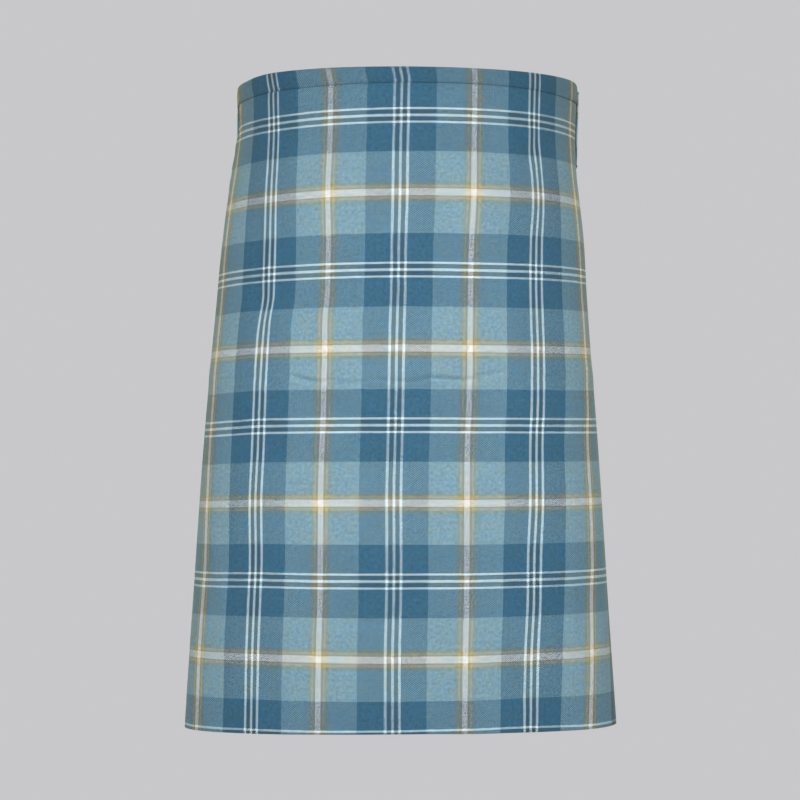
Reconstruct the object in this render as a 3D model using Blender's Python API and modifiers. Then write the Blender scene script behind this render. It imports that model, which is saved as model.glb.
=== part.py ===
"""Scottish kilt: a wrap skirt of tartan, plain across the front and knife-pleated across the back.

Metres, +Z up. The front faces -Y and the wearer's left side is +X. The origin is the centre of the
waist, half way down the waistband. Every piece is placed by three values: its drop below the top
edge, its distance along the cloth's outline from the centre front towards the wearer's left, and its
distance out from that outline.
"""
import math

import bmesh
import bpy
import numpy as np

MM = 0.001

# ---- driving dimensions --------------------------------------------------------------------------
LENGTH = 0.610              # top of the waistband to the hem, down the centre front
BAND_HEIGHT = 0.015
CLOTH = 0.0011              # wall of the woven wool
SEAM = 0.0004               # gap between pieces that meet
SEAM_UNDER = 0.0005         # and where the under-apron runs on from the last pleat

PLEATS = 24
RIGHT_PAST_LEFT = 0.010     # the free edge, wearer's right, reaches this much further back
PLEATS_PAST_EDGE = 0.004    # last pleat's edge, just behind the free edge
LAST_LEG = 0.003            # inner leg of the last pleat, past its own edge
UNDER_SHORT_OF_LEFT = 0.025  # under-apron's end, in front of the widest point
UNDER_HEM_LIFT = 0.006      # under-apron is cut this much shorter

BAND_OUT = 0.0012           # waistband's outer face, out from the outline
BAND_WALL = 0.0024          # folded band over one layer of cloth
BAND_WALL_PLEATS = 0.0051   # and over the pleats' three layers
BAND_UNDER = -0.0018        # outer face of the inner turn, under the over-apron
BAND_STEP = (0.0003, 0.0026)  # where the band steps inward, past the last pleat's edge
BAND_GATHER = 0.004         # the band grows to the pleats' thickness over this much

# The body's outline, a row for each section, in millimetres. Two half ellipses share a width and
# meet at the sides; sag lowers both sides and tilt lowers the wearer's right against the left.
# inner is how far in the inner layers lie, flare how far out the pleats' edges swing, pitch the
# spacing of a pleat's layers and climb the width in which it comes up from under its neighbour.
# past_left is the over-apron's reach behind the widest point at the wearer's left, which lets its
# edge hang plumb.
BODY_COLUMNS = ("drop", "centre_x", "centre_y", "half_width", "front_depth", "back_depth",
                "sag", "tilt", "inner", "flare", "pitch", "climb", "past_left")
BODY = (
    (0.0, 0.0, 0.0, 164.6, 140.0, 100.0, 0.0, 0.0, 3.3, 0.0, 1.65, 3.6, 24.0),
    (15.2, 0.0, 0.0, 164.6, 140.0, 100.0, 0.0, 0.0, 3.3, 0.0, 1.65, 3.6, 24.0),
    (45.0, -0.6, -2.0, 163.8, 141.0, 104.0, 0.4, 0.0, 3.3, 0.0, 1.65, 3.6, 27.0),
    (80.0, -2.2, -5.0, 166.2, 138.0, 116.5, 0.8, 0.3, 3.3, 0.0, 1.65, 3.6, 30.0),
    (110.0, -3.5, -9.0, 170.3, 134.0, 131.0, 1.2, 0.8, 3.3, 0.0, 1.65, 3.7, 33.0),
    (150.0, -4.0, -14.0, 175.0, 130.0, 148.5, 1.6, 1.4, 3.3, 0.0, 1.65, 3.8, 37.0),
    (205.0, -4.4, -21.0, 178.8, 124.0, 166.0, 2.2, 1.9, 3.3, 0.2, 1.65, 3.9, 43.0),
    (270.0, -5.2, -28.0, 183.6, 117.0, 177.0, 3.0, 2.1, 4.0, 0.9, 1.8, 4.5, 49.0),
    (350.0, -5.4, -34.0, 189.4, 111.0, 185.0, 4.2, 2.1, 5.4, 1.9, 2.0, 5.2, 54.0),
    (440.0, -5.3, -39.0, 194.8, 107.0, 193.0, 4.8, 2.2, 7.2, 2.8, 2.3, 5.9, 58.0),
    (530.0, -5.3, -43.0, 200.0, 104.0, 201.0, 5.0, 2.4, 8.6, 3.5, 2.5, 6.4, 61.0),
    (610.0, -5.2, -45.0, 205.0, 103.0, 208.0, 5.0, 2.5, 9.6, 4.0, 2.6, 6.6, 63.0),
)
SWING = 0.16                # share by which neighbouring pleats' edges differ
SWING_STEP = 2.4            # phase between one pleat and the next, radians

# ---- side loops, a row for each bend, in millimetres ---------------------------------------------
LOOP_WIDTH = 0.012
LOOP_WALL = 0.0016
LOOP_BEHIND = 0.011         # loop's centre line, behind the widest point
LOOP_COLUMNS = ("drop", "out")
LOOP = ((3.0, 2.45), (9.0, 2.45), (17.0, 3.0), (40.0, 3.3), (64.0, 2.9), (73.0, 1.8), (79.0, 1.8))

# ---- strap and buckle ----------------------------------------------------------------------------
STRAP_WIDTH = 0.024
STRAP_WALL = 0.0020
STRAP_DROP = 0.0145         # centre line of strap and buckle
BUCKLE_BAR = 0.078          # buckle's bar, behind the widest point
BUCKLE_REACH = 0.022        # bar to the far side of the frame
BUCKLE_HEIGHT = 0.034       # between centres of the frame's top and bottom
BUCKLE_WIRE = 0.0026
BUCKLE_CORNER = 0.004
TAB_WIDTH = 0.023
TAB_WALL = 0.0014
PRONG_WIRE = 0.0018
SLOT_WIDTH = 0.0046
HOLE_WIDTH = 0.0034
# middle lines of strap, tab and prong, in millimetres: from_bar runs forward from the buckle's bar
STRAP_COLUMNS = ("from_bar", "out")
STRAP = ((56.0, 2.7), (30.0, 2.7), (16.0, 2.7), (12.5, 3.3), (8.5, 6.0), (4.5, 8.7), (0.0, 9.6),
         (-5.0, 8.9), (-10.0, 6.8), (-16.0, 6.2), (-38.0, 6.2), (-50.0, 6.0))
TAB = ((-36.0, 2.35), (-24.0, 2.35), (-12.0, 2.35), (0.0, 2.27), (1.9, 2.95), (2.65, 4.6), (1.9, 6.4),
       (0.0, 7.0), (-3.0, 6.6), (-8.0, 4.4), (-12.0, 4.1), (-24.0, 4.1), (-36.0, 4.1))
PRONG = ((-2.7, 3.5), (-2.9, 4.9), (-2.0, 6.6), (0.0, 7.2), (5.0, 6.8), (12.0, 7.2), (24.0, 8.3))
FRAME_AT_BAR = 0.00465      # frame's centre line, out from the outline
FRAME_AT_FAR_SIDE = 0.0055
# openings cut through the leather, in millimetres: the strap's first hole holds the prong
OPENING_COLUMNS = ("from_bar", "out", "length", "depth")
STRAP_HOLES = ((6.8, 6.8, 9.2, 8.0), (-16.0, 6.2, 4.0, 8.0), (-28.0, 6.2, 4.0, 8.0))
TAB_SLOTS = ((0.0, 6.2, 12.0, 7.8),)

# ---- button inside the waist ---------------------------------------------------------------------
BUTTON_DIAMETER = 0.0140
BUTTON_THICKNESS = 0.0024
BUTTON_RIM = 0.0006
BUTTON_HOLE = 0.0016
BUTTON_HOLES_ACROSS = 0.0034
BUTTON_FROM_END = 0.012
BUTTON_SEAT = 0.0007

# ---- how finely the cloth is divided -------------------------------------------------------------
APRON_COLUMNS = 46
UNDER_COLUMNS = 40
BAND_COLUMNS = {"front": 40, "back": 44, "under": 38}
ROW_CLEARANCE = 0.012       # a sheet's first and last rows keep this far from the table's own
STRIP_STEP = 0.0020         # along the strap, the tab and the prong
LOOP_STEP = 0.006
LOOP_POINTS_ACROSS = 4
CORNER_TURNS = (0.0, 30.0, 60.0, 90.0)
BUTTON_SIDES = 32
BUTTON_HOLE_SIDES = 10
WELD = 0.00002
TAU = 2.0 * math.pi


def columns(rows, names):
    """Turn a table of millimetre rows into one array of metres for each named column."""
    values = np.array(rows) * MM
    return {name: values[:, i] for i, name in enumerate(names)}


def smooth_columns(rows, names, spacing):
    """The same for a smooth curve through the table's rows."""
    values = smooth_path(np.array(rows) * MM, spacing)
    return {name: values[:, i] for i, name in enumerate(names)}


BODY_TABLE = columns(BODY, BODY_COLUMNS)


def body(name, drop):
    """Read one column of the body table at a drop."""
    return float(np.interp(drop, BODY_TABLE["drop"], BODY_TABLE[name]))


def smooth_path(points, spacing):
    """A Catmull-Rom curve through rows of values, sampled so that no step is longer than spacing."""
    points = np.asarray(points, dtype=float)
    ends = (2 * points[0] - points[1], 2 * points[-1] - points[-2])
    knots = np.vstack((ends[0], points, ends[1]))
    path = [points[0]]
    for before, here, there, after in zip(knots[:-3], knots[1:-2], knots[2:-1], knots[3:]):
        steps = max(1, math.ceil(float(np.linalg.norm(there - here)) / spacing))
        for i in range(1, steps + 1):
            t = i / steps
            path.append(0.5 * (2 * here + (there - before) * t
                               + (2 * before - 5 * here + 4 * there - after) * t ** 2
                               + (3 * here - before - 3 * there + after) * t ** 3))
    return np.array(path)


class Section:
    """The cloth's outline at one drop: two half ellipses, measured by the distance along them."""

    SAMPLES = 1440

    def __init__(self, drop):
        self.drop = drop
        self.row = {name: body(name, drop) for name in BODY_COLUMNS}
        self.angle = np.linspace(0.0, TAU, self.SAMPLES + 1)
        x, y = self.ellipse(self.angle)
        steps = np.hypot(np.diff(x), np.diff(y))
        self.distance = np.concatenate(([0.0], np.cumsum(steps)))
        self.round = float(self.distance[-1])
        self.widest = float(np.interp(TAU / 4, self.angle, self.distance))
        self.first_pleat = self.widest + self.row["past_left"]
        self.free_edge = -self.first_pleat - RIGHT_PAST_LEFT
        self.last_pleat = self.round + self.free_edge - PLEATS_PAST_EDGE
        self.inner_end = self.round + self.widest - UNDER_SHORT_OF_LEFT

    def depth(self, angle):
        """Front depth on the front half, back depth on the back half."""
        return np.where(np.cos(angle) > 0.0, self.row["front_depth"], self.row["back_depth"])

    def ellipse(self, angle):
        x = self.row["centre_x"] + self.row["half_width"] * np.sin(angle)
        y = self.row["centre_y"] - self.depth(angle) * np.cos(angle)
        return x, y

    def point(self, along, out):
        """World place of a point along the outline and out from it."""
        angle = np.interp(np.mod(along, self.round), self.distance, self.angle)
        x, y = self.ellipse(angle)
        normal_x = self.depth(angle) * np.sin(angle)
        normal_y = -self.row["half_width"] * np.cos(angle)
        size = np.hypot(normal_x, normal_y)
        hang = self.row["sag"] * np.sin(angle) ** 2 - self.row["tilt"] * np.sin(angle)
        z = BAND_HEIGHT / 2 - self.drop - hang
        return np.column_stack((x + out * normal_x / size, y + out * normal_y / size,
                                z + np.zeros_like(x)))


def drops_between(top, bottom):
    """The body table's own drops between two heights, with those two at the ends."""
    first = top + ROW_CLEARANCE
    last = bottom - ROW_CLEARANCE
    inside = [drop for drop in BODY_TABLE["drop"] if first < drop < last]
    return [top] + inside + [bottom]


# ---- making objects ------------------------------------------------------------------------------
def start_collection(name):
    for old in list(bpy.data.objects):
        bpy.data.objects.remove(old, do_unlink=True)
    collection = bpy.data.collections.new(name)
    bpy.context.scene.collection.children.link(collection)
    return collection


def material(name, colour, roughness, metallic=0.0):
    made = bpy.data.materials.new(name)
    made.use_nodes = True
    shader = made.node_tree.nodes["Principled BSDF"]
    shader.inputs["Base Color"].default_value = (*colour, 1.0)
    shader.inputs["Roughness"].default_value = roughness
    shader.inputs["Metallic"].default_value = metallic
    return made


def add_object(name, mesh, finish, collection):
    made = bpy.data.objects.new(name, mesh)
    made.data.materials.append(finish)
    collection.objects.link(made)
    return made


def grid_mesh(name, rows):
    """An open sheet through rows of points, all of one length. The first row is the highest."""
    count = len(rows[0])
    mesh_builder = bmesh.new()
    verts = [[mesh_builder.verts.new(point) for point in row] for row in rows]
    for upper, lower in zip(verts[:-1], verts[1:]):
        for i in range(count - 1):
            mesh_builder.faces.new((upper[i], lower[i], lower[i + 1], upper[i + 1]))
    mesh = bpy.data.meshes.new(name)
    mesh_builder.to_mesh(mesh)
    mesh_builder.free()
    mesh.shade_smooth()
    return mesh


def thicken(sheet, wall, offset=0.0):
    """Give an open sheet its wall; an offset of -1 keeps the sheet as the outer face."""
    solid = sheet.modifiers.new("Wall", "SOLIDIFY")
    solid.thickness = wall
    solid.offset = offset
    solid.use_even_offset = True
    solid.use_quality_normals = True
    return solid


def cut(target, cutters, cutter_collection):
    """Cut closed shapes out of a piece."""
    for cutter in cutters:
        cutter_collection.objects.link(cutter)
        cutter.hide_render = True
        cutter.display_type = "WIRE"
        opening = target.modifiers.new("Opening", "BOOLEAN")
        opening.operation = "DIFFERENCE"
        opening.solver = "EXACT"
        opening.object = cutter


# ---- the cloth -----------------------------------------------------------------------------------
def make_over_apron(finish, collection):
    """Plain front stretch, from the free edge behind the right side to the first pleat."""
    rows = []
    for drop in drops_between(BAND_HEIGHT + SEAM / 2, LENGTH):
        section = Section(drop)
        along = np.linspace(section.free_edge, section.first_pleat - SEAM / 2, APRON_COLUMNS)
        rows.append(section.point(along, np.zeros_like(along)))
    apron = add_object("over_apron", grid_mesh("over_apron", rows), finish, collection)
    thicken(apron, CLOTH)
    return apron


def pleat_path(section):
    """Distances along and out of the pleated cloth at one drop.

    Each pleat shows one leg, which climbs out from under its neighbour and runs to its own folded
    edge. There the cloth turns back under itself, turns again and runs on to the next pleat.
    """
    row = section.row
    start = section.first_pleat + SEAM / 2
    end = section.last_pleat
    reveal = (end - start) / PLEATS
    pitch = row["pitch"]
    inner = -row["inner"]
    path = [(start, 0.0)]
    for i in range(PLEATS):
        edge = start + (i + 1) * reveal
        knee = edge - reveal + row["climb"]
        turn = knee + pitch
        crest = row["flare"] * (1.0 + SWING * math.sin(SWING_STEP * i))
        if i > 0:
            path.append((edge - reveal + pitch, inner))
        path.append((knee, inner + 2.0 * pitch if i > 0 else 0.0))
        path.append((edge, crest))
        path.append((edge + pitch / 2, crest - pitch / 2))
        path.append((edge, crest - pitch))
        path.append((turn, inner + pitch))
        path.append((turn - pitch / 2, inner + pitch / 2))
        path.append((turn, inner))
    path.append((end + LAST_LEG, inner))
    return np.array(path)


def make_pleated_back(finish, collection):
    """Knife pleats across the back, flat from waist to seat and opening towards the hem."""
    rows = []
    for drop in drops_between(BAND_HEIGHT + SEAM / 2, LENGTH):
        section = Section(drop)
        path = pleat_path(section)
        rows.append(section.point(path[:, 0], path[:, 1]))
    pleated = add_object("pleated_back", grid_mesh("pleated_back", rows), finish, collection)
    thicken(pleated, CLOTH)
    return pleated


def make_under_apron(finish, collection):
    """Plain stretch that runs on from the last pleat, under the over-apron."""
    rows = []
    for drop in drops_between(BAND_HEIGHT + SEAM / 2, LENGTH - UNDER_HEM_LIFT):
        section = Section(drop)
        start = section.last_pleat + LAST_LEG + SEAM_UNDER
        along = np.linspace(start, section.inner_end, UNDER_COLUMNS)
        rows.append(section.point(along, np.full_like(along, -section.row["inner"])))
    apron = add_object("under_apron", grid_mesh("under_apron", rows), finish, collection)
    thicken(apron, CLOTH)
    return apron


def band_path(section):
    """Distances along, out and wall thickness of the waistband, from free edge to inner end."""
    front = (section.free_edge, section.first_pleat - BAND_GATHER, BAND_COLUMNS["front"])
    back = (section.first_pleat, section.last_pleat + BAND_STEP[0], BAND_COLUMNS["back"])
    under = (section.last_pleat + BAND_STEP[1], section.inner_end, BAND_COLUMNS["under"])
    stretches = (
        (*front, BAND_OUT, BAND_WALL),
        (*back, BAND_OUT, BAND_WALL_PLEATS),
        (*under, BAND_UNDER, BAND_WALL),
    )
    along = np.concatenate([np.linspace(s[0], s[1], s[2]) for s in stretches])
    out = np.concatenate([np.full(s[2], s[3]) for s in stretches])
    wall = np.concatenate([np.full(s[2], s[4]) for s in stretches])
    return along, out, wall


def make_waistband(finish, collection):
    """One folded strip along the top edge: across the front, round the back and on underneath."""
    rows = []
    for drop in (0.0, BAND_HEIGHT - SEAM / 2):
        section = Section(drop)
        along, out, wall = band_path(section)
        rows.append(section.point(along, out))
    band = add_object("waistband", grid_mesh("waistband", rows), finish, collection)
    share = band.vertex_groups.new(name="wall")
    for row in range(len(rows)):
        for i, here in enumerate(wall):
            share.add([row * len(wall) + i], here / BAND_WALL_PLEATS, "REPLACE")
    solid = thicken(band, BAND_WALL_PLEATS, offset=-1.0)
    solid.vertex_group = share.name
    return band


def make_belt_loop(name, side, finish, collection):
    """Narrow self-cloth strip at one side, sewn at both ends and standing off between them."""
    places = smooth_columns(LOOP, LOOP_COLUMNS, LOOP_STEP)
    rows = []
    for drop, out in zip(places["drop"], places["out"]):
        section = Section(drop)
        centre = side * (section.widest + LOOP_BEHIND)
        along = centre + np.linspace(-0.5, 0.5, LOOP_POINTS_ACROSS) * LOOP_WIDTH
        rows.append(section.point(along, np.full_like(along, out)))
    loop = add_object(name, grid_mesh(name, rows), finish, collection)
    thicken(loop, LOOP_WALL)
    return loop


# ---- strap and buckle ----------------------------------------------------------------------------
def by_buckle(from_bar, out, up=0.0):
    """Places by the buckle: forward from its bar, out from the outline, and up from the strap's
    centre line, in metres. Leather and frame stand straight, so the outline is the same at any up.
    """
    section = Section(STRAP_DROP)
    places = section.point(-section.widest - BUCKLE_BAR + np.atleast_1d(from_bar), out)
    places[:, 2] += up
    return places


def side_strip(name, table, width, finish, collection):
    """Leather strip carried through a table of places forward from the buckle's bar."""
    places = smooth_columns(table, STRAP_COLUMNS, STRIP_STEP)
    rows = []
    for edge in (0.5, 0.0, -0.5):
        rows.append(by_buckle(places["from_bar"], places["out"], edge * width))
    return add_object(name, grid_mesh(name, rows), finish, collection)


def turned(name, shape, centre, out_axis):
    """Mesh of a shape made at the origin: its z laid along a level axis, its y up, at a centre."""
    along_axis = np.array((-out_axis[1], out_axis[0], 0.0))
    up_axis = np.array((0.0, 0.0, 1.0))
    for vert in shape.verts:
        x, y, z = vert.co
        vert.co = centre + along_axis * x + up_axis * y + out_axis * z
    bmesh.ops.recalc_face_normals(shape, faces=shape.faces)
    mesh = bpy.data.meshes.new(name)
    shape.to_mesh(mesh)
    shape.free()
    return mesh


def disc(name, centre, out_axis, diameter, height, sides):
    """Round shape whose axis is out_axis."""
    shape = bmesh.new()
    bmesh.ops.create_cone(shape, cap_ends=True, segments=sides, radius1=diameter / 2,
                          radius2=diameter / 2, depth=height)
    return turned(name, shape, centre, out_axis)


def openings(name, table, width):
    """A box for each row of a table of openings, set square to the cloth behind it."""
    boxes = []
    rows = columns(table, OPENING_COLUMNS)
    for i, from_bar in enumerate(rows["from_bar"]):
        outward = (by_buckle(from_bar, 2 * CLOTH) - by_buckle(from_bar, CLOTH))[0] / CLOTH
        centre = by_buckle(from_bar, rows["out"][i])[0]
        shape = bmesh.new()
        bmesh.ops.create_cube(shape, size=1.0)
        bmesh.ops.scale(shape, vec=(rows["length"][i], width, rows["depth"][i]), verts=shape.verts)
        mesh = turned(f"{name}_{i}", shape, centre, outward)
        boxes.append(bpy.data.objects.new(f"{name}_{i}", mesh))
    return boxes


def make_strap(finish, collection, cutters):
    """Strap sewn to the over-apron's edge, through the buckle and on over the tab."""
    strap = side_strip("side_strap", STRAP, STRAP_WIDTH, finish, collection)
    thicken(strap, STRAP_WALL)
    cut(strap, openings("strap_hole", STRAP_HOLES, HOLE_WIDTH), cutters)
    return strap


def make_tab(finish, collection, cutters):
    """Tab folded round the buckle's bar and sewn down behind it, with a slot for the prong."""
    tab = side_strip("buckle_tab", TAB, TAB_WIDTH, finish, collection)
    thicken(tab, TAB_WALL)
    cut(tab, openings("tab_slot", TAB_SLOTS, SLOT_WIDTH), cutters)
    return tab


def wire(name, points, diameter, closed, finish, collection):
    """Round wire through points, made a mesh with its caps welded."""
    curve = bpy.data.curves.new(name, "CURVE")
    curve.dimensions = "3D"
    curve.bevel_depth = diameter / 2
    curve.bevel_resolution = 2
    curve.use_fill_caps = not closed
    spline = curve.splines.new("POLY")
    spline.points.add(len(points) - 1)
    for target, point in zip(spline.points, points):
        target.co = (*point, 1.0)
    spline.use_cyclic_u = closed
    guide = bpy.data.objects.new(name + "_guide", curve)
    collection.objects.link(guide)
    bpy.context.view_layer.update()
    evaluated = guide.evaluated_get(bpy.context.evaluated_depsgraph_get())
    mesh = bpy.data.meshes.new_from_object(evaluated)
    bpy.data.objects.remove(guide, do_unlink=True)
    welded = bmesh.new()
    welded.from_mesh(mesh)
    bmesh.ops.remove_doubles(welded, verts=welded.verts, dist=WELD)
    bmesh.ops.recalc_face_normals(welded, faces=welded.faces)
    welded.to_mesh(mesh)
    welded.free()
    mesh.shade_smooth()
    return add_object(name, mesh, finish, collection)


def make_buckle(finish, collection):
    """Rectangular wire frame with rounded corners; its rear side is the bar that the tab holds."""
    half = BUCKLE_HEIGHT / 2
    centres = ((BUCKLE_REACH - BUCKLE_CORNER, half - BUCKLE_CORNER, 0.0),
               (BUCKLE_CORNER, half - BUCKLE_CORNER, 90.0),
               (BUCKLE_CORNER, BUCKLE_CORNER - half, 180.0),
               (BUCKLE_REACH - BUCKLE_CORNER, BUCKLE_CORNER - half, 270.0))
    points = []
    for forward, up, start in centres:
        for turn in CORNER_TURNS:
            angle = math.radians(start + turn)
            from_bar = forward + BUCKLE_CORNER * math.cos(angle)
            out = FRAME_AT_BAR + (FRAME_AT_FAR_SIDE - FRAME_AT_BAR) * from_bar / BUCKLE_REACH
            points.append(by_buckle(from_bar, out, up + BUCKLE_CORNER * math.sin(angle))[0])
    return wire("side_buckle", points, BUCKLE_WIRE, True, finish, collection)


def make_prong(finish, collection):
    """Prong hooked round the bar, up through the strap and resting on the frame's far side."""
    places = smooth_columns(PRONG, STRAP_COLUMNS, STRIP_STEP)
    points = by_buckle(places["from_bar"], places["out"])
    return wire("buckle_prong", points, PRONG_WIRE, False, finish, collection)


def make_button(finish, collection, cutters):
    """Four-hole button on the inner face of the waistband's inner end."""
    section = Section(BAND_HEIGHT / 2)
    along = section.inner_end - BUTTON_FROM_END
    inner_face = BAND_UNDER - BAND_WALL
    face = section.point(along, inner_face)[0]
    inward = (section.point(along, inner_face - BUTTON_SEAT)[0] - face) / BUTTON_SEAT
    centre = face + inward * (BUTTON_SEAT + BUTTON_THICKNESS / 2)
    mesh = disc("inner_button", centre, inward, BUTTON_DIAMETER, BUTTON_THICKNESS, BUTTON_SIDES)
    button = add_object("inner_button", mesh, finish, collection)
    rim = button.modifiers.new("Rim", "BEVEL")
    rim.width = BUTTON_RIM
    rim.segments = 2
    rim.limit_method = "ANGLE"
    half = BUTTON_HOLES_ACROSS / 2
    across = np.array((-inward[1], inward[0], 0.0))
    holes = []
    for i, (x, z) in enumerate(((half, half), (-half, half), (-half, -half), (half, -half))):
        place = centre + across * x + np.array((0.0, 0.0, z))
        hole = disc(f"button_hole_{i}", place, inward, BUTTON_HOLE, 2 * BUTTON_THICKNESS,
                    BUTTON_HOLE_SIDES)
        holes.append(bpy.data.objects.new(f"button_hole_{i}", hole))
    cut(button, holes, cutters)
    return button


def make_kilt():
    parts = start_collection("scottish_kilt")
    cutters = bpy.data.collections.new("cutters")
    bpy.context.scene.collection.children.link(cutters)
    tartan = material("tartan_cloth", (0.17, 0.28, 0.37), 0.85)
    band_cloth = material("waistband_cloth", (0.15, 0.25, 0.34), 0.85)
    leather = material("black_leather", (0.02, 0.02, 0.022), 0.45)
    metal = material("buckle_metal", (0.72, 0.72, 0.74), 0.22, 1.0)
    horn = material("button_resin", (0.05, 0.09, 0.13), 0.35)
    make_over_apron(tartan, parts)
    make_pleated_back(tartan, parts)
    make_under_apron(tartan, parts)
    make_waistband(band_cloth, parts)
    make_belt_loop("belt_loop_left", 1.0, tartan, parts)
    make_belt_loop("belt_loop_right", -1.0, tartan, parts)
    make_strap(leather, parts, cutters)
    make_tab(leather, parts, cutters)
    make_buckle(metal, parts)
    make_prong(metal, parts)
    make_button(horn, parts, cutters)


make_kilt()
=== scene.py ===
"""Scottish kilt, dressed: tartan cloth, knife pleats, waistband and a buckled leather strap.

Every piece is a surface worked out on a grid with numpy. A point has three values: its drop below the
top edge, its distance along the cloth's outline from the centre front towards the wearer's left, and
its distance out from that outline. Metres, +Z up, the front faces -Y and the wearer's left is +X.
"""
import math

import bmesh
import bpy
import numpy as np
from bpy.props import FloatProperty, FloatVectorProperty, PointerProperty
from bpy.types import Operator, Panel, PropertyGroup
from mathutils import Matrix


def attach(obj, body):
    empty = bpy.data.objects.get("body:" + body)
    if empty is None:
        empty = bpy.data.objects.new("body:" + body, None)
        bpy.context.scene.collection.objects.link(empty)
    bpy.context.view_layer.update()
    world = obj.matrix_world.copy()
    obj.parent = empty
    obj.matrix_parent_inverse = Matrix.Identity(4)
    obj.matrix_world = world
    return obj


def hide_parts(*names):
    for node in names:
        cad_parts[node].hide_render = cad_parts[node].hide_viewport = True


bl_info = {
    "name": "Scottish Kilt",
    "version": (1, 0, 0),
    "blender": (4, 5, 0),
    "location": "3D View > Sidebar > Kilt",
    "description": "Makes a tartan wrap kilt with knife pleats and a buckled side strap",
    "category": "Object",
}

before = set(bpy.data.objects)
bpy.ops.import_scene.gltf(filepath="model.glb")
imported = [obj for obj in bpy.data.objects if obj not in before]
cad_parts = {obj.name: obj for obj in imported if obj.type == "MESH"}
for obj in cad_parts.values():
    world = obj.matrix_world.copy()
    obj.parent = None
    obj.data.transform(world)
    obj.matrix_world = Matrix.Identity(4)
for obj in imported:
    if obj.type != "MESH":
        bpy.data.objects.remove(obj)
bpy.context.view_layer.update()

MM = 0.001
TAU = 2.0 * math.pi
WELD = 0.000002             # points closer than this are one

# ---- sizes that the solids have too --------------------------------------------------------------
LENGTH = 0.610              # top of the waistband to the hem, down the centre front
BAND_HEIGHT = 0.015
SEAM = 0.0004
SEAM_UNDER = 0.0005
PLEATS = 24
RIGHT_PAST_LEFT = 0.010     # the free edge, wearer's right, reaches this much further back
PLEATS_PAST_EDGE = 0.004    # last pleat's edge, just behind the free edge
LAST_LEG = 0.003            # inner leg of the last pleat, past its own edge
UNDER_SHORT_OF_LEFT = 0.025  # under-apron's end, in front of the widest point
UNDER_HEM_LIFT = 0.006      # under-apron is cut this much shorter
BAND_OUT = 0.0012           # waistband's outer face, out from the outline
BAND_WALL = 0.0024
BAND_WALL_PLEATS = 0.0051
BAND_UNDER = -0.0018        # outer face of the inner turn
BAND_STEP = (0.0003, 0.0026)
BAND_GATHER = 0.004

# The body's outline, a row for each section, in millimetres. Two half ellipses share a width and
# meet at the sides; sag lowers both sides and tilt lowers the wearer's right against the left.
# inner is how far in the inner layers lie, flare how far out the pleats' edges swing, pitch the
# spacing of a pleat's layers and climb the width in which it comes up from under its neighbour.
# past_left is the over-apron's reach behind the widest point at the wearer's left.
BODY_COLUMNS = ("drop", "centre_x", "centre_y", "half_width", "front_depth", "back_depth",
                "sag", "tilt", "inner", "flare", "pitch", "climb", "past_left")
BODY = (
    (0.0, 0.0, 0.0, 164.6, 140.0, 100.0, 0.0, 0.0, 3.3, 0.0, 1.65, 3.6, 24.0),
    (15.2, 0.0, 0.0, 164.6, 140.0, 100.0, 0.0, 0.0, 3.3, 0.0, 1.65, 3.6, 24.0),
    (45.0, -0.6, -2.0, 163.8, 141.0, 104.0, 0.4, 0.0, 3.3, 0.0, 1.65, 3.6, 27.0),
    (80.0, -2.2, -5.0, 166.2, 138.0, 116.5, 0.8, 0.3, 3.3, 0.0, 1.65, 3.6, 30.0),
    (110.0, -3.5, -9.0, 170.3, 134.0, 131.0, 1.2, 0.8, 3.3, 0.0, 1.65, 3.7, 33.0),
    (150.0, -4.0, -14.0, 175.0, 130.0, 148.5, 1.6, 1.4, 3.3, 0.0, 1.65, 3.8, 37.0),
    (205.0, -4.4, -21.0, 178.8, 124.0, 166.0, 2.2, 1.9, 3.3, 0.2, 1.65, 3.9, 43.0),
    (270.0, -5.2, -28.0, 183.6, 117.0, 177.0, 3.0, 2.1, 4.0, 0.9, 1.8, 4.5, 49.0),
    (350.0, -5.4, -34.0, 189.4, 111.0, 185.0, 4.2, 2.1, 5.4, 1.9, 2.0, 5.2, 54.0),
    (440.0, -5.3, -39.0, 194.8, 107.0, 193.0, 4.8, 2.2, 7.2, 2.8, 2.3, 5.9, 58.0),
    (530.0, -5.3, -43.0, 200.0, 104.0, 201.0, 5.0, 2.4, 8.6, 3.5, 2.5, 6.4, 61.0),
    (610.0, -5.2, -45.0, 205.0, 103.0, 208.0, 5.0, 2.5, 9.6, 4.0, 2.6, 6.6, 63.0),
)
SWING = 0.16                # share by which neighbouring pleats' edges differ
SWING_STEP = 2.4            # phase between one pleat and the next, radians
BULGE = 0.10                # slope by which a pleat's face bulges
BULGE_SWING = (0.04, 3.7)   # how much that differs, and its phase from pleat to pleat
RESTLESS = ((5.3, 0.09), (2.9, -0.043))    # folds' small waves: phase from pleat to pleat, length
RESTLESS_HEIGHT = 0.00035
EMERGE = 0.6                # pitches from where a pleat starts to climb to the edge that covers it

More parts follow.
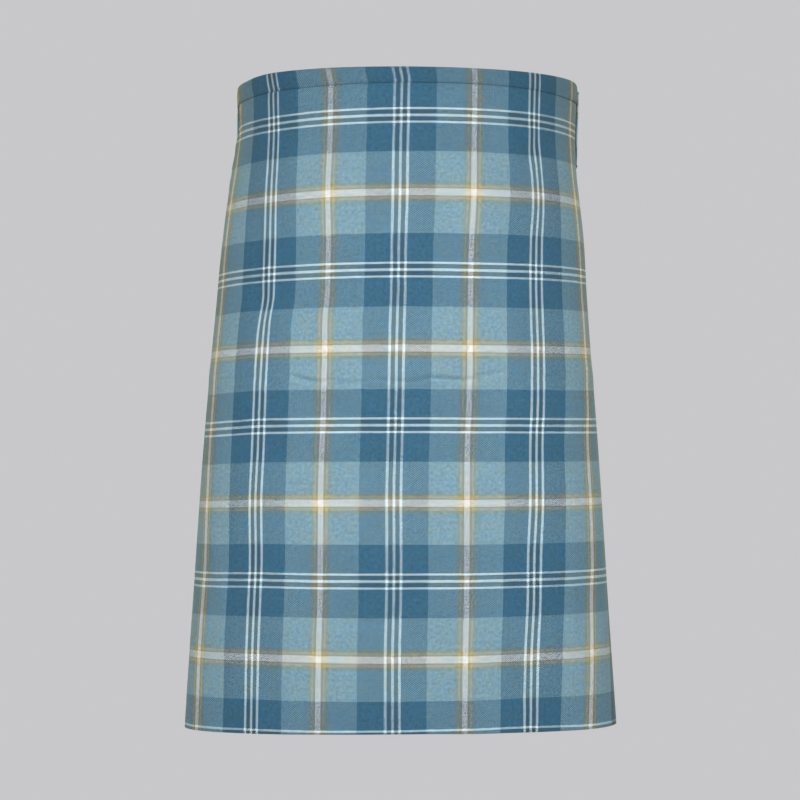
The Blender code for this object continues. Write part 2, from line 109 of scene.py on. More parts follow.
# Side loops, strap, tab and prong: middle lines in millimetres. drop and from_bar, which runs
# forward from the buckle's bar, place them along the cloth, and out stands them off it.
LOOP = ((3.5, 2.1), (9.0, 2.2), (17.0, 2.4), (40.0, 2.6), (64.0, 2.2), (73.0, 1.3), (79.0, 1.3))
LOOP_WIDTH = 0.012
LOOP_WALL = 0.0016
LOOP_BEHIND = 0.011
LOOP_WEAVE = (0.030, 0.098)              # where in the loom its edge and its top lay
LOOP_POWER = 4.0                         # how square its section is
LOOP_END = 0.0009                        # its ends round off over this much
LOOP_END_WIDTH = 0.9                     # and are this wide against the rest
LOOP_TACKS = ((5.5, 3.05), (76.5, 2.1))  # bars of stitches that hold it
TACKS = 13                               # stitches in a bar
TACK_MARGIN = 0.0028
TACK_LENGTH = 0.0026
STRAP = ((56.0, 2.7), (30.0, 2.7), (16.0, 2.7), (12.5, 3.3), (8.5, 6.0), (4.5, 8.7), (0.0, 9.6),
         (-5.0, 8.9), (-10.0, 6.8), (-16.0, 6.2), (-38.0, 6.2), (-50.0, 6.0))
TAB = ((-36.0, 2.35), (-24.0, 2.35), (-12.0, 2.35), (0.0, 2.27), (1.9, 2.95), (2.65, 4.6), (1.9, 6.4),
       (0.0, 7.0), (-3.0, 6.6), (-8.0, 4.4), (-12.0, 4.1), (-24.0, 4.1), (-36.0, 4.1))
PRONG = ((-2.7, 3.5), (-2.9, 4.9), (-2.0, 6.6), (0.0, 7.2), (5.0, 6.8), (12.0, 7.2), (24.0, 8.3))
STRAP_WIDTH = 0.024
STRAP_WALL = 0.0020
STRAP_DROP = 0.0145
STRAP_EDGE = 0.0005                      # rounding of its cut edges
STRAP_TAIL = 0.011                       # its free end narrows over this much
TAIL_NARROWS = (0.72, 2.6)               # by this share, and with this power of the way
STRAP_FLAT_FROM = 0.018                  # from_bar past which it lies flat
STRAP_SEWN = (0.0525, 0.0325, 0.003)     # from_bar of its box of stitches, and the margin beside it
TAB_WIDTH = 0.023
TAB_WALL = 0.0014
TAB_EDGE = 0.0004
TAB_FLAT_TO = -0.012
TAB_SEWN = (-0.0150, -0.0335, 0.0027)
BUCKLE_BAR = 0.078
BUCKLE_REACH = 0.022
BUCKLE_HEIGHT = 0.034
BUCKLE_WIRE = 0.0026
BUCKLE_CORNER = 0.004
FRAME_AT_BAR = 0.00465
FRAME_AT_FAR_SIDE = 0.0055
PRONG_WIRE = 0.0018
PRONG_HOLE = (0.0068, 0.0092, 0.0034)    # from_bar, length and width
PUNCHED = (-0.016, -0.028)               # from_bar of the holes in the strap's tail
PUNCH = 0.0036
HOLE_MARGIN = 0.0032                     # leather round a hole that has a grid of its own
TAB_SLOT = (-0.0045, -0.0060, 0.0046)    # from_bar where it starts and ends round the bar, width
TAB_ROUND = 0.004                        # round the bar from its start to its end is further than this
BUTTON_FROM_END = 0.012
BUTTON_SEAT = 0.0007
BUTTON_THICKNESS = 0.0024
BUTTON_HOLES_ACROSS = 0.0034
BUTTON_THREAD = (0.00025, 0.0004)        # how far it stands on the button, and its radius
BUTTON_STRAND = 1.5                      # a strand's length against the span of the holes
THREAD = 0.00032                         # radius of the sewing thread
TAB_THREAD = 0.0003
STITCH_SHARE = 0.62                      # a stitch's length against the pitch
STITCH_ASIDE = 0.3                       # its direction is read this many pitches to each side

# ---- the tartan, as counts of threads ------------------------------------------------------------
# From the middle of the three white lines out to the middle of the broad white band, where the
# order turns back. The warp turns between two threads, the weft on a thread, which counts as half.
# The last value is the yarn's bulk: a thicker yarn covers more of what it crosses.
WARP = (("line", 2, 0.45), ("navy", 6, 0.85), ("line", 4, 0.45), ("dark", 37, 1.0), ("light", 40, 0.5),
        ("pale", 5, 0.45), ("gold", 3, 0.30), ("olive", 3, 0.30), ("white", 4, 0.42))
WEFT = (("line", 2.5, 0.66), ("navy", 8, 0.85), ("line", 4, 0.66), ("dark", 51, 1.0),
        ("light", 57, 0.5), ("pale", 6, 0.5), ("gold", 5, 0.52), ("olive", 2, 0.52), ("white", 6.5, 0.6))
HALF_ACROSS = 0.0679        # width of one count of the warp
HALF_DOWN = 0.07093         # height of one count of the weft
FIRST_LINES = 0.0443        # drop of the first three white lines' middle
COVER_FROM, COVER_TO = 0.045, 0.2        # from the middle to the sides the warp stands prouder
COVER_LEAST, COVER_MOST = -0.18, 0.48
HAZE = 0.15                 # share of the covered yarn that shows through the one on top
HAZE_BRIGHT = 0.05          # the same where one of the two is white or gold
WOBBLE = (0.0004, 500.0)    # how far the threads wander from their even places, and the noise's scale
CROWDING = (0.75, 640.0)    # how much prouder or lower the warp stands from spot to spot, and scale
LIFT = 0.6                  # how far a thread rises and dips as it passes over and under
CROWN = 0.5                 # height of its round top
BULK_LIFT = 0.9             # how much its bulk raises it
THREAD_TONE = 0.10          # how much one thread is lighter than the next
GAP_TONE = (0.70, 1.06)     # painted shade between the threads, and painted highlight on their tops
DIP_TONE = (0.86, 1.08)     # and painted shade where a thread dips, and painted highlight where it stands high
DIP = (0.3, 1.8)            # those two heights
WOOL_ROUGHNESS = (0.80, 0.95)            # least and most, over the nap
# Unevenness of the wool: scale, detail and roughness of a noise, and how much it changes the colour.
SLUB = (0.55, 2.0, 0.6, 0.45)            # its scale counts in threads
NAP = (330.0, 3.0, 0.65, 0.95)
WASH = (24.0, 2.0, 0.5, 0.18)
HUE = (75.0, 3.0, 0.5, 0.3)              # from redder to bluer

# Where the weave lies on the front, in millimetres. The first value of a row is the drop, and the
# others say how far sideways, or how far down, the cloth lies from its place in the loom, at seven
# places across the loom.
LIE_AT = (-204.0, -136.0, -68.0, 0.0, 68.0, 136.0, 204.0)
WARP_LIE = (
    (0.0, 2.0, 2.5, 1.5, 0.5, 1.0, -1.5, -3.0),
    (27.0, 2.0, 3.5, 1.5, 0.7, 1.0, -1.5, -3.5),
    (62.0, 2.0, 6.2, 2.4, 1.4, 1.8, 0.2, -1.2),
    (116.0, 5.0, 9.2, 3.0, 2.9, 3.5, 5.0, 3.2),
    (163.0, 4.0, 10.8, 4.5, 2.3, 1.4, 0.8, 3.5),
    (205.0, 4.5, 11.2, 4.0, 2.1, 0.8, -0.2, 1.9),
    (232.0, 4.0, 6.5, 2.0, 1.6, 0.9, 0.3, 3.5),
    (258.0, 3.5, 5.0, 2.3, 1.4, 1.0, 1.1, 3.6),
    (306.0, 3.0, 3.5, 1.8, 0.9, 0.4, 0.3, 2.1),
    (345.0, 2.0, 2.7, 0.3, 0.2, -1.3, -1.8, -2.6),
    (397.0, 2.0, 0.6, -1.1, -0.9, -1.8, -2.3, -1.0),
    (451.0, 3.0, 1.7, -1.2, -0.8, -2.0, -5.2, -1.6),
    (488.0, 1.0, 0.4, -1.5, -1.1, -2.2, -5.7, -5.4),
    (540.0, -2.0, -1.3, -2.8, -2.2, -3.4, -8.4, -7.3),
    (610.0, -2.5, -2.0, -3.7, -2.2, -4.3, -9.5, -12.5),
)
WEFT_LIE = (
    (0.0, 3.9, 2.4, 0.9, 0.2, 0.0, -0.1, 1.6),
    (44.0, 3.9, 2.4, 0.9, 0.2, 0.0, -0.1, 1.6),
    (115.0, 3.4, 1.1, -0.3, -0.4, -0.6, -0.6, 0.9),
    (186.0, 1.6, 0.0, -0.4, -0.3, 0.4, 0.5, 1.0),
    (257.0, 0.2, -0.9, 0.0, 0.5, 1.3, 1.4, 0.8),
    (328.0, -0.2, -1.8, -0.8, 0.0, 0.6, 0.3, -0.2),
    (398.0, -1.1, -1.8, -0.6, 0.1, 0.9, 0.1, -0.6),
    (469.0, -1.7, -1.8, 0.0, 0.8, 1.0, 0.0, -1.0),
    (540.0, -2.1, -1.4, 0.4, 1.6, 1.6, 0.2, -1.1),
    (610.0, 0.9, 0.9, 1.8, 1.8, 0.6, -0.5, 0.9),
)

# ---- creases, in millimetres ---------------------------------------------------------------------
# Soft troughs, or ridges where depth is negative: where the middle lies, half length, half width,
# turn from level in degrees, and depth. Each is crooked and uneven along its length.
CREASE_COLUMNS = ("along", "drop", "length", "width", "turn", "depth")
CREASES_FRONT = (
    (-84.0, 284.0, 24.0, 3.2, 9.0, 1.7),
    (-46.0, 287.5, 20.0, 3.2, 1.0, 1.4),
    (4.0, 287.0, 26.0, 3.2, -1.0, 1.4),
    (54.0, 286.0, 26.0, 3.0, -2.0, 2.1),
    (92.0, 280.0, 18.0, 3.6, -18.0, 1.2),
    (0.0, 284.0, 120.0, 12.0, 0.5, -1.0),
    (-180.0, 281.0, 80.0, 12.0, 1.0, -0.5),
    (190.0, 284.0, 80.0, 12.0, -1.0, -0.5),
    (-150.0, 283.0, 30.0, 5.0, 2.0, 0.5),
    (140.0, 287.0, 30.0, 5.0, -6.0, 0.6),
    (36.0, 570.0, 17.0, 3.2, -38.0, 0.9),
    (22.0, 556.0, 12.0, 3.0, -30.0, 0.5),
    (44.0, 418.0, 12.0, 3.2, -32.0, 0.9),
    (-84.0, 470.0, 22.0, 5.0, 50.0, 0.5),
    (-142.0, 168.0, 70.0, 9.0, 82.0, 1.1),
    (-120.0, 196.0, 60.0, 10.0, 86.0, -0.8),
    (128.0, 88.0, 44.0, 9.0, -72.0, 1.0),
    (112.0, 120.0, 40.0, 9.0, -80.0, -0.7),
    (-52.0, 430.0, 60.0, 14.0, 80.0, 0.9),
    (66.0, 470.0, 72.0, 13.0, -84.0, 0.9),
    (-176.0, 480.0, 80.0, 12.0, 86.0, -0.9),
    (176.0, 520.0, 74.0, 12.0, -87.0, -0.9),
    (-30.0, 560.0, 44.0, 12.0, 84.0, -0.8),
    (110.0, 590.0, 30.0, 12.0, -82.0, 0.8),
    (-118.0, 585.0, 34.0, 13.0, 85.0, 0.8),
    (-238.0, 120.0, 60.0, 9.0, 78.0, 0.6),
    (240.0, 210.0, 80.0, 10.0, -80.0, 0.7),
    (-226.0, 30.0, 18.0, 17.0, 90.0, 1.6),
    (-226.0, 74.0, 26.0, 15.0, 90.0, -1.9),
    (-258.0, 400.0, 90.0, 12.0, 84.0, 0.8),
    (266.0, 440.0, 90.0, 12.0, -85.0, 0.8),
)
CREASE_CROOKED = (0.5, 2.3)                # half widths it strays, and radians in half a length
CREASE_UNEVEN = ((0.3, 3.1), (0.15, 7.7))  # share by which its depth differs, and the same radians
CREASE_RIM = 0.55           # ridges that border it, against its depth
CREASE_SIDES = 0.8          # how steep its sides are
CREASE_ENDS = 0.4           # how early it starts to run out
CREASES_UNDER = (
    (-180.0, 130.0, 50.0, 9.0, 74.0, 0.4),
    (-60.0, 286.0, 150.0, 6.0, 1.0, 0.45),
    (90.0, 292.0, 90.0, 6.0, -2.0, 0.4),
    (-110.0, 470.0, 90.0, 14.0, 84.0, 0.8),
    (20.0, 520.0, 70.0, 13.0, -86.0, 0.7),
    (150.0, 430.0, 80.0, 12.0, 82.0, 0.7),
)
# Long slow waves of the hanging cloth: wavelength along and down, phase in radians, and height at
# the hem, in millimetres.
WAVES = ((163.0, 900.0, 0.6, 0.9), (97.0, -700.0, 2.1, 0.5), (61.0, 420.0, 4.0, 0.25))
WAVE_START = 0.12           # drop above which the sewn waist keeps the cloth flat
WAVE_GROWTH = 1.3
UNDER_WAVES = 0.6           # the under-apron's waves against the over-apron's

# ---- how finely the cloth is divided -------------------------------------------------------------
CLOTH_WALL = 0.0010
APRON_ROWS = 186
APRON_COLUMNS = 236
PLEAT_ROWS = 60
UNDER_ROWS = 110
UNDER_COLUMNS = 150
KNOT_SAMPLES = 24           # on a smooth path, between two rows of its table
# Along a pleat: round each inside fold, under its neighbour, climbing, its face, its edge, and back.
INSIDE, UNDER, CLIMB, FACE, EDGE, BACK = 3, 4, 6, 9, 7, 5
LOOP_STEP = 0.0016
LOOP_COLUMNS = 25
STRAP_STEP = 0.0010
TAB_STEP = 0.0006
PRONG_STEP = 0.0007
STRIP_STEP = 0.0013         # between a strip's columns
STRIP_ROWS = 9
HOLE_COLUMNS = 7            # along each side of the grid round a hole
HOLE_RINGS = 5
RINGS_WIDEN = 1.4           # power by which they stand further apart outward
WIRE_COLUMNS = 17
CORNER_POINTS = 9
CAP_ROWS = 6
STITCH_ROWS, STITCH_COLUMNS = 7, 9
BAND_COLUMNS = 400
BAND_TURNS = 33
EDGE_ROW = 0.0005           # support line this close to a sheet's edge
TUCK = 0.003                # the cloth runs on this far inside the waistband
SEAM_ROWS = (-0.002, -0.0006, 0.0, 0.0006, 0.0013, 0.0024)     # extra rows beside its seam
PRESSED_ROWS = np.arange(277.0, 295.5, 0.9) * MM               # and through the pressed crease
SEAM_DIP = 0.0004           # how far the seam draws the cloth in, and over what height
SEAM_DIP_REACH = 0.0022
DITCH_REACH = 0.0012        # how wide, and how much, painted shade darkens the cloth at the pressed seam
DITCH_SHADE = 0.10
BAND_SHADE = 0.12           # painted shade: how much darker the waistband is than the cloth below


# ---- reading the tables --------------------------------------------------------------------------
def column(rows, names, name):
    """One column of a table of millimetres, in metres."""
    return np.array(rows)[:, names.index(name)] * MM


def hermite(t, start, end, slope_in, slope_out):
    """Cubic from start to end with the given slopes at its ends."""
    return ((1 + 2 * t) * (1 - t) ** 2 * start + t * (1 - t) ** 2 * slope_in
            + t * t * (3 - 2 * t) * end + t * t * (t - 1) * slope_out)


def smooth_between(places, values, wanted):
    """A cubic through the values, with each slope the harmonic mean of its two neighbours'.

    Where the values turn round the slope is nought, so the curve never overshoots them.
    """
    step = np.diff(places)
    rise = np.diff(values) / step
    before, after = rise[:-1], rise[1:]
    heavy, light = step[:-1] + 2 * step[1:], 2 * step[:-1] + step[1:]
    steady = before * after > 0
    safe_before = np.where(steady, before, 1.0)
    safe_after = np.where(steady, after, 1.0)
    inside = np.where(steady, (heavy + light) / (heavy / safe_before + light / safe_after), 0.0)
    slope = np.concatenate(([0.0], inside, [rise[-1]]))
    wanted = np.clip(wanted, places[0], places[-1])
    k = np.clip(np.searchsorted(places, wanted, side="right") - 1, 0, len(step) - 1)
    t = (wanted - places[k]) / step[k]
    return hermite(t, values[k], values[k + 1], step[k] * slope[k], step[k] * slope[k + 1])


def smooth_path(rows, spacing):
    """Points at equal spacing on a smooth curve through a table of places, and their distances.

    Between two rows the curve is a cubic whose slope at each row is half the way from the row before
    to the row after.
    """
    knots = np.array(rows) * MM
    knots = np.vstack((2 * knots[0] - knots[1], knots, 2 * knots[-1] - knots[-2]))
    t = np.linspace(0.0, 1.0, KNOT_SAMPLES, endpoint=False)[None, :, None]
    before, here, there, after = (knots[i:len(knots) - 3 + i, None, :] for i in range(4))
    curve = 0.5 * (2 * here + (there - before) * t + (2 * before - 5 * here + 4 * there - after) * t ** 2
                   + (3 * here - before - 3 * there + after) * t ** 3)
    curve = np.vstack((curve.reshape(-1, knots.shape[1]), knots[-2]))
    far = np.concatenate(([0.0], np.cumsum(np.linalg.norm(np.diff(curve, axis=0), axis=1))))
    even = np.linspace(0.0, far[-1], max(2, math.ceil(far[-1] / spacing)) + 1)
    return np.column_stack([np.interp(even, far, curve[:, i]) for i in range(curve.shape[1])]), even


class Outline:
    """The cloth's outline at many drops at once; the first axis of every array is the drop."""

    SAMPLES = 1440
    STRIDE = 4.0            # metres that keep the rows apart when all are looked up in one list

    def __init__(self, drops):
        self.drops = np.atleast_1d(np.asarray(drops, dtype=float))
        places = column(BODY, BODY_COLUMNS, "drop")
        self.row = {name: smooth_between(places, column(BODY, BODY_COLUMNS, name), self.drops)[:, None]
                    for name in BODY_COLUMNS}
        self.angle = np.linspace(0.0, TAU, self.SAMPLES + 1)[None, :]
        x, y = self.ellipse(self.angle)
        steps = np.hypot(np.diff(x, axis=1), np.diff(y, axis=1))
        start = np.zeros((len(self.drops), 1))
        self.distance = np.concatenate((start, np.cumsum(steps, axis=1)), axis=1)
        self.round = self.distance[:, -1:]
        self.widest = self.distance[:, self.SAMPLES // 4][:, None]
        self.first_pleat = self.widest + self.row["past_left"]
        self.free_edge = -self.first_pleat - RIGHT_PAST_LEFT
        self.last_pleat = self.round + self.free_edge - PLEATS_PAST_EDGE
        self.inner_end = self.round + self.widest - UNDER_SHORT_OF_LEFT

    def depth(self, angle):
        """Front depth on the front half, back depth on the back half."""
        return np.where(np.cos(angle) > 0.0, self.row["front_depth"], self.row["back_depth"])

    def ellipse(self, angle):
        """x is the half width times the sine of the angle, y the depth times minus its cosine."""
        x = self.row["centre_x"] + self.row["half_width"] * np.sin(angle)
        y = self.row["centre_y"] - self.depth(angle) * np.cos(angle)
        return x, y

    def place(self, along, out, lower=0.0):
        """World points at distances along and out; lower takes them straight down from their row."""
        shift = np.arange(len(self.drops))[:, None] * self.STRIDE
        along = np.broadcast_to(along, (len(self.drops), np.shape(along)[-1]))
        angles = np.tile(self.angle, (len(self.drops), 1)).ravel()
        keys = (self.distance + shift).ravel()
        angle = np.interp((np.mod(along, self.round) + shift).ravel(), keys, angles)
        angle = angle.reshape(along.shape)
        x, y = self.ellipse(angle)
        normal_x = self.depth(angle) * np.sin(angle)
        normal_y = -self.row["half_width"] * np.cos(angle)
        size = np.hypot(normal_x, normal_y)
        hang = self.row["sag"] * np.sin(angle) ** 2 - self.row["tilt"] * np.sin(angle)
        z = BAND_HEIGHT / 2 - self.drops[:, None] - hang - lower
        return np.stack((x + out * normal_x / size, y + out * normal_y / size, z + 0.0 * x), axis=-1)


def spread(start, end, count):
    """Places from start to end in every row, the second and the last but one close to the edges."""
    share = np.linspace(0.0, 1.0, count - 2)[None, :]
    inner = start + EDGE_ROW + (end - start - 2 * EDGE_ROW) * share
    return np.concatenate((start, inner, end), axis=1)


def hanging_rows(end, count, fine=()):
    """Rows from inside the waistband down to a hem, closer together beside the seam.

    The places in fine take the places of the rows nearest to them.
    """
    beside = BAND_HEIGHT + np.array(SEAM_ROWS)
    first = beside[-1] + 0.001
    rows = np.linspace(first, end - EDGE_ROW, count - len(beside) - len(fine) - 2)
    if len(fine):
        rows = rows[(rows < fine[0] - EDGE_ROW) | (rows > fine[-1] + EDGE_ROW)]
    return np.concatenate(([BAND_HEIGHT - TUCK], beside, np.sort(np.concatenate((rows, fine))), [end]))


def seam_dip(drops):
    """How far the cloth is drawn in beside the waistband's seam: a bell over the drop."""
    return SEAM_DIP * np.exp(-((drops - BAND_HEIGHT) / SEAM_DIP_REACH) ** 2)


# ---- creases and the lie of the weave ------------------------------------------------------------
def creases(table, along, drop):
    """Sum of soft troughs, each depth times a bell across it and a flatter bell along it.

    A low ridge borders the bell across, a wave along the trough makes it crooked, and two more make
    its depth uneven.
    """
    out = np.zeros(np.broadcast(along, drop).shape)
    for values in table:
        row = dict(zip(CREASE_COLUMNS, values))
        angle = math.radians(row["turn"])
        aside = along - row["along"] * MM
        below = drop - row["drop"] * MM
        lengthwise = (aside * math.cos(angle) + below * math.sin(angle)) / (row["length"] * MM)
        across = (below * math.cos(angle) - aside * math.sin(angle)) / (row["width"] * MM)
        strays, radians = CREASE_CROOKED
        across = across + strays * np.sin(radians * lengthwise + row["along"])
        uneven = 1.0
        for (share, radians), phase in zip(CREASE_UNEVEN, (row["drop"], row["length"])):
            uneven = uneven + share * np.sin(radians * lengthwise + phase)
        bell = (1.0 - CREASE_RIM * across ** 2) * np.exp(-CREASE_SIDES * across ** 2)
        ends = np.exp(-lengthwise ** 4 - CREASE_ENDS * lengthwise ** 2)
        out -= row["depth"] * MM * uneven * bell * ends
    return out


def freedom(drop):
    """How free the cloth is to move: 0 down to where the sewn waist ends, 1 at the hem."""
    return np.clip((drop - WAVE_START) / (LENGTH - WAVE_START), 0.0, 1.0)


def waves(along, drop):
    """Slow waves that grow from nothing at the waist to their height at the hem."""
    out = np.zeros(np.broadcast(along, drop).shape)
    for wide, tall, phase, height in WAVES:
        out += height * MM * np.sin(TAU * (along / (wide * MM) + drop / (tall * MM)) + phase)
    return freedom(drop) ** WAVE_GROWTH * out


def lie(table, across, drops):
    """A table of how the weave lies, smooth down its columns and straight between them."""
    rows = np.array(table) * MM
    at = np.array(LIE_AT) * MM
    shifts = np.stack([smooth_between(rows[:, 0], rows[:, k + 1], drops[:, 0])
                       for k in range(len(at))], axis=-1)[:, None, :]
    near = np.clip(across, at[0], at[-1])[..., None]
    share = np.clip(1.0 - np.abs(near - at) / (at[1] - at[0]), 0.0, 1.0)
    return (share * shifts).sum(axis=-1)


def loom_place(along, drops):
    """Where cloth at a distance along and a drop was in the loom: those two less how it lies.

    The place across is found by three rounds of the same step.
    """
    across = along
    for _ in range(3):
        across = along - lie(WARP_LIE, across, drops)
    return np.stack((across, drops - lie(WEFT_LIE, across, drops)), axis=-1)


# ---- making objects ------------------------------------------------------------------------------
def grid_mesh(name, grids, weld=False):
    """Mesh through one or more grids of points (rows, columns, 3), each with its UV or None.

    A hanging cloth's grid also has the drop of its points, which its material reads. A grid may have
    more axes in front, for equal grids. Where down crossed with along points out of the piece, so do
    its faces. weld joins grids that meet, closes seams and poles, and turns every face outward again.
    """
    points, maps, corners, levels = [], [], [], []
    count = 0
    for grid, uv, *drop in grids:
        rows, columns = grid.shape[-3:-1]
        numbers = np.arange(grid.size // 3).reshape(-1, rows, columns) + count
        quads = (numbers[:, :-1, :-1], numbers[:, 1:, :-1], numbers[:, 1:, 1:], numbers[:, :-1, 1:])
        corners.append(np.stack(quads, axis=-1).reshape(-1, 4))
        points.append(grid.reshape(-1, 3))
        maps.append(np.zeros((grid.size // 3, 2)) if uv is None else uv.reshape(-1, 2))
        levels.extend(level.ravel() for level in drop)
        count += grid.size // 3
    corners = np.concatenate(corners)
    mesh = bpy.data.meshes.new(name)
    mesh.from_pydata(np.concatenate(points), [], corners)
    layer = mesh.uv_layers.new(name="UVMap")
    layer.uv.foreach_set("vector", np.concatenate(maps)[corners.ravel()].ravel())
    if levels:
        drops = mesh.attributes.new("drop", "FLOAT", "POINT")
        drops.data.foreach_set("value", np.concatenate(levels))
    if weld:
        joined = bmesh.new()
        joined.from_mesh(mesh)
        bmesh.ops.remove_doubles(joined, verts=joined.verts, dist=WELD)
        bmesh.ops.recalc_face_normals(joined, faces=joined.faces)
        joined.to_mesh(mesh)
        joined.free()
    mesh.shade_smooth()
    return mesh


def new_object(name, data):
    """Object with its mesh, light or camera, in the scene."""
    item = bpy.data.objects.new(name, data)
    bpy.context.scene.collection.objects.link(item)
    return item


def make_piece(name, grids, finish, replaces=(), weld=False):
    """Object through grids of points, in its finish; it stands for the solids that it replaces."""
    mesh = grid_mesh(name, grids, weld)
    mesh.materials.append(finish)
    piece = new_object(name, mesh)
    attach(piece, "root")
    if replaces:
        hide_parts(*replaces)
    return piece


def thicken(piece, wall):
    """Give an open sheet its wall, half of it on each side."""
    solid = piece.modifiers.new("Wall", "SOLIDIFY")
    solid.thickness = wall
    solid.offset = 0.0
    solid.use_quality_normals = True


def soften_edges(piece, width):
    """Round the edges of cut leather."""
    bevel = piece.modifiers.new("Edges", "BEVEL")
    bevel.width = width
    bevel.segments = 3
    bevel.limit_method = "ANGLE"
    bevel.angle_limit = math.radians(50.0)
    bevel.harden_normals = True


# ---- the cloth -----------------------------------------------------------------------------------
def make_over_apron(cloth, finish):
    """Front stretch, from its free edge behind the wearer's right to the first pleat."""
    outline = Outline(hanging_rows(LENGTH, APRON_ROWS, PRESSED_ROWS))
    along = spread(outline.free_edge, outline.first_pleat - SEAM / 2, APRON_COLUMNS)
    drops = np.broadcast_to(outline.drops[:, None], along.shape)
    below_seam = drops - band_swell(along)[1]
    out = creases(CREASES_FRONT, along, drops) + waves(along, drops) - seam_dip(below_seam)
    grids = [(outline.place(along, out), loom_place(along, drops), below_seam)]
    piece = make_piece("over_apron_cloth", grids, finish, ("over_apron",))
    thicken(piece, cloth.wall)


def arc(centre, radius, start, end, count):
    """Along and out of points on an arc, between two angles in degrees."""
    angle = np.radians(np.linspace(start, end, count))
    return centre[0] + radius * np.cos(angle), centre[1] + radius * np.sin(angle)


def shares(count):
    """Even shares of a stretch, but for its start, where the stretch before it ended."""
    return np.linspace(0.0, 1.0, count)[1:]


def pleat_profile(outline, pleats):
    """Along and out of every pleat, arrays (pleat, row, point).

    A pleat's stretch starts at the fold inside the pleat before it, runs along under that pleat's
    leg, climbs out from under its edge, shows its own leg, folds back at its edge, and runs under
    itself to its own inside fold.
    """
    number = pleats[:, None, None]
    row = {name: outline.row[name][None] + 0.0 * number
           for name in ("inner", "flare", "pitch", "climb")}
    start = (outline.first_pleat + SEAM / 2)[None]
    reveal = ((outline.last_pleat - outline.first_pleat - SEAM / 2) / PLEATS)[None]
    level = -row["inner"]
    pitch = row["pitch"]
    edge = start + (number + 1) * reveal
    knee = edge - reveal + row["climb"]
    turn = knee + pitch
    drop = outline.drops[None, :, None]
    restless = sum(np.sin(phase * number + drop / length) for phase, length in RESTLESS)
    crest = (row["flare"] * (1.0 + SWING * np.sin(SWING_STEP * number))
             + RESTLESS_HEIGHT * freedom(drop) * restless)
    first = number == 0
    knee_out = np.where(first, 0.0, level + 2 * pitch)
    leg = edge - knee
    slope = (crest - knee_out) / leg
    puff = BULGE + BULGE_SWING[0] * np.sin(BULGE_SWING[1] * number)

    before = turn - reveal
    quarter = arc((before, level + pitch / 2), pitch / 2, 180.0, 270.0, INSIDE)
    run = shares(UNDER)
    emerge = edge - reveal + EMERGE * pitch
    inner = (before + (emerge - before) * run, level + 0.0 * run)
    t = shares(CLIMB)
    climbing = (emerge + (knee - emerge) * t,
                hermite(t, level, knee_out, 0.0, (slope + puff) * (knee - emerge)))
    hidden_along = np.concatenate((quarter[0], inner[0], climbing[0]), axis=-1)
    hidden_out = np.concatenate((quarter[1], inner[1], climbing[1]), axis=-1)
    plain = np.linspace(0.0, 1.0, hidden_along.shape[-1])
    hidden_along = np.where(first, start + (knee - start) * plain, hidden_along)
    hidden_out = np.where(first, 0.0, hidden_out)

    t = shares(FACE)
    shown = (knee + leg * t, hermite(t, knee_out, crest, (slope + puff) * leg, (slope - puff) * leg))
    fold = arc((edge, crest - pitch / 2), pitch / 2, 90.0, -90.0, EDGE)
    t = shares(BACK)
    back = (edge - leg * t + pitch * t,
            hermite(t, crest - pitch, level + pitch, -(slope - puff) * leg, -slope * leg))
    last = arc((turn, level + pitch / 2), pitch / 2, 90.0, 180.0, INSIDE)
    along = np.concatenate((hidden_along, shown[0], fold[0][..., 1:], back[0], last[0][..., 1:]), axis=-1)
    out = np.concatenate((hidden_out, shown[1], fold[1][..., 1:], back[1], last[1][..., 1:]), axis=-1)
    edge_point = hidden_along.shape[-1] + shown[0].shape[-1] - 1
    return along, out, edge_point


def make_pleated_back(cloth, finish):
    """Knife pleats, each showing the next part of the check.

    The check goes on from the over-apron's, the waist's reveals join into the whole of it, and every
    fold's edge keeps to one thread all the way down. It jumps at each inside fold, out of sight.
    """
    outline = Outline(hanging_rows(LENGTH, PLEAT_ROWS))
    pleats = np.arange(PLEATS)
    along, out, edge_point = pleat_profile(outline, pleats)
    points = np.stack([outline.place(along[i], out[i]) for i in pleats])
    steps = np.hypot(np.diff(along, axis=-1), np.diff(out, axis=-1))
    path = np.concatenate((np.zeros_like(along[..., :1]), np.cumsum(steps, axis=-1)), axis=-1)
    at_waist = (outline.last_pleat - outline.first_pleat)[0, 0] / PLEATS
    edge_thread = outline.first_pleat[0, 0] - WARP_LIE[0][-1] * MM + (pleats + 1) * at_waist
    across = edge_thread[:, None, None] + path - path[..., edge_point, None]
    down = np.broadcast_to(outline.drops[None, :, None], across.shape)
    grids = [(points, np.stack((across, down), axis=-1), down)]

    row = outline.row
    middle = (along[-1][:, -1:] + row["pitch"] / 2, -row["inner"] + row["pitch"] / 2)
    quarter = arc(middle, row["pitch"] / 2, 180.0, 270.0, INSIDE)
    run = shares(UNDER)
    end = outline.last_pleat + LAST_LEG
    last_along = np.concatenate((quarter[0], middle[0] + (end - middle[0]) * run), axis=-1)
    last_out = np.concatenate((quarter[1], -row["inner"] + 0.0 * run), axis=-1)
    down = np.broadcast_to(outline.drops[:, None], last_along.shape)
    uv = np.stack((last_along - outline.round, down), axis=-1)
    grids.append((outline.place(last_along, last_out), uv, down))
    piece = make_piece("pleated_back_cloth", grids, finish, ("pleated_back",),
                       weld=True)
    thicken(piece, cloth.wall)


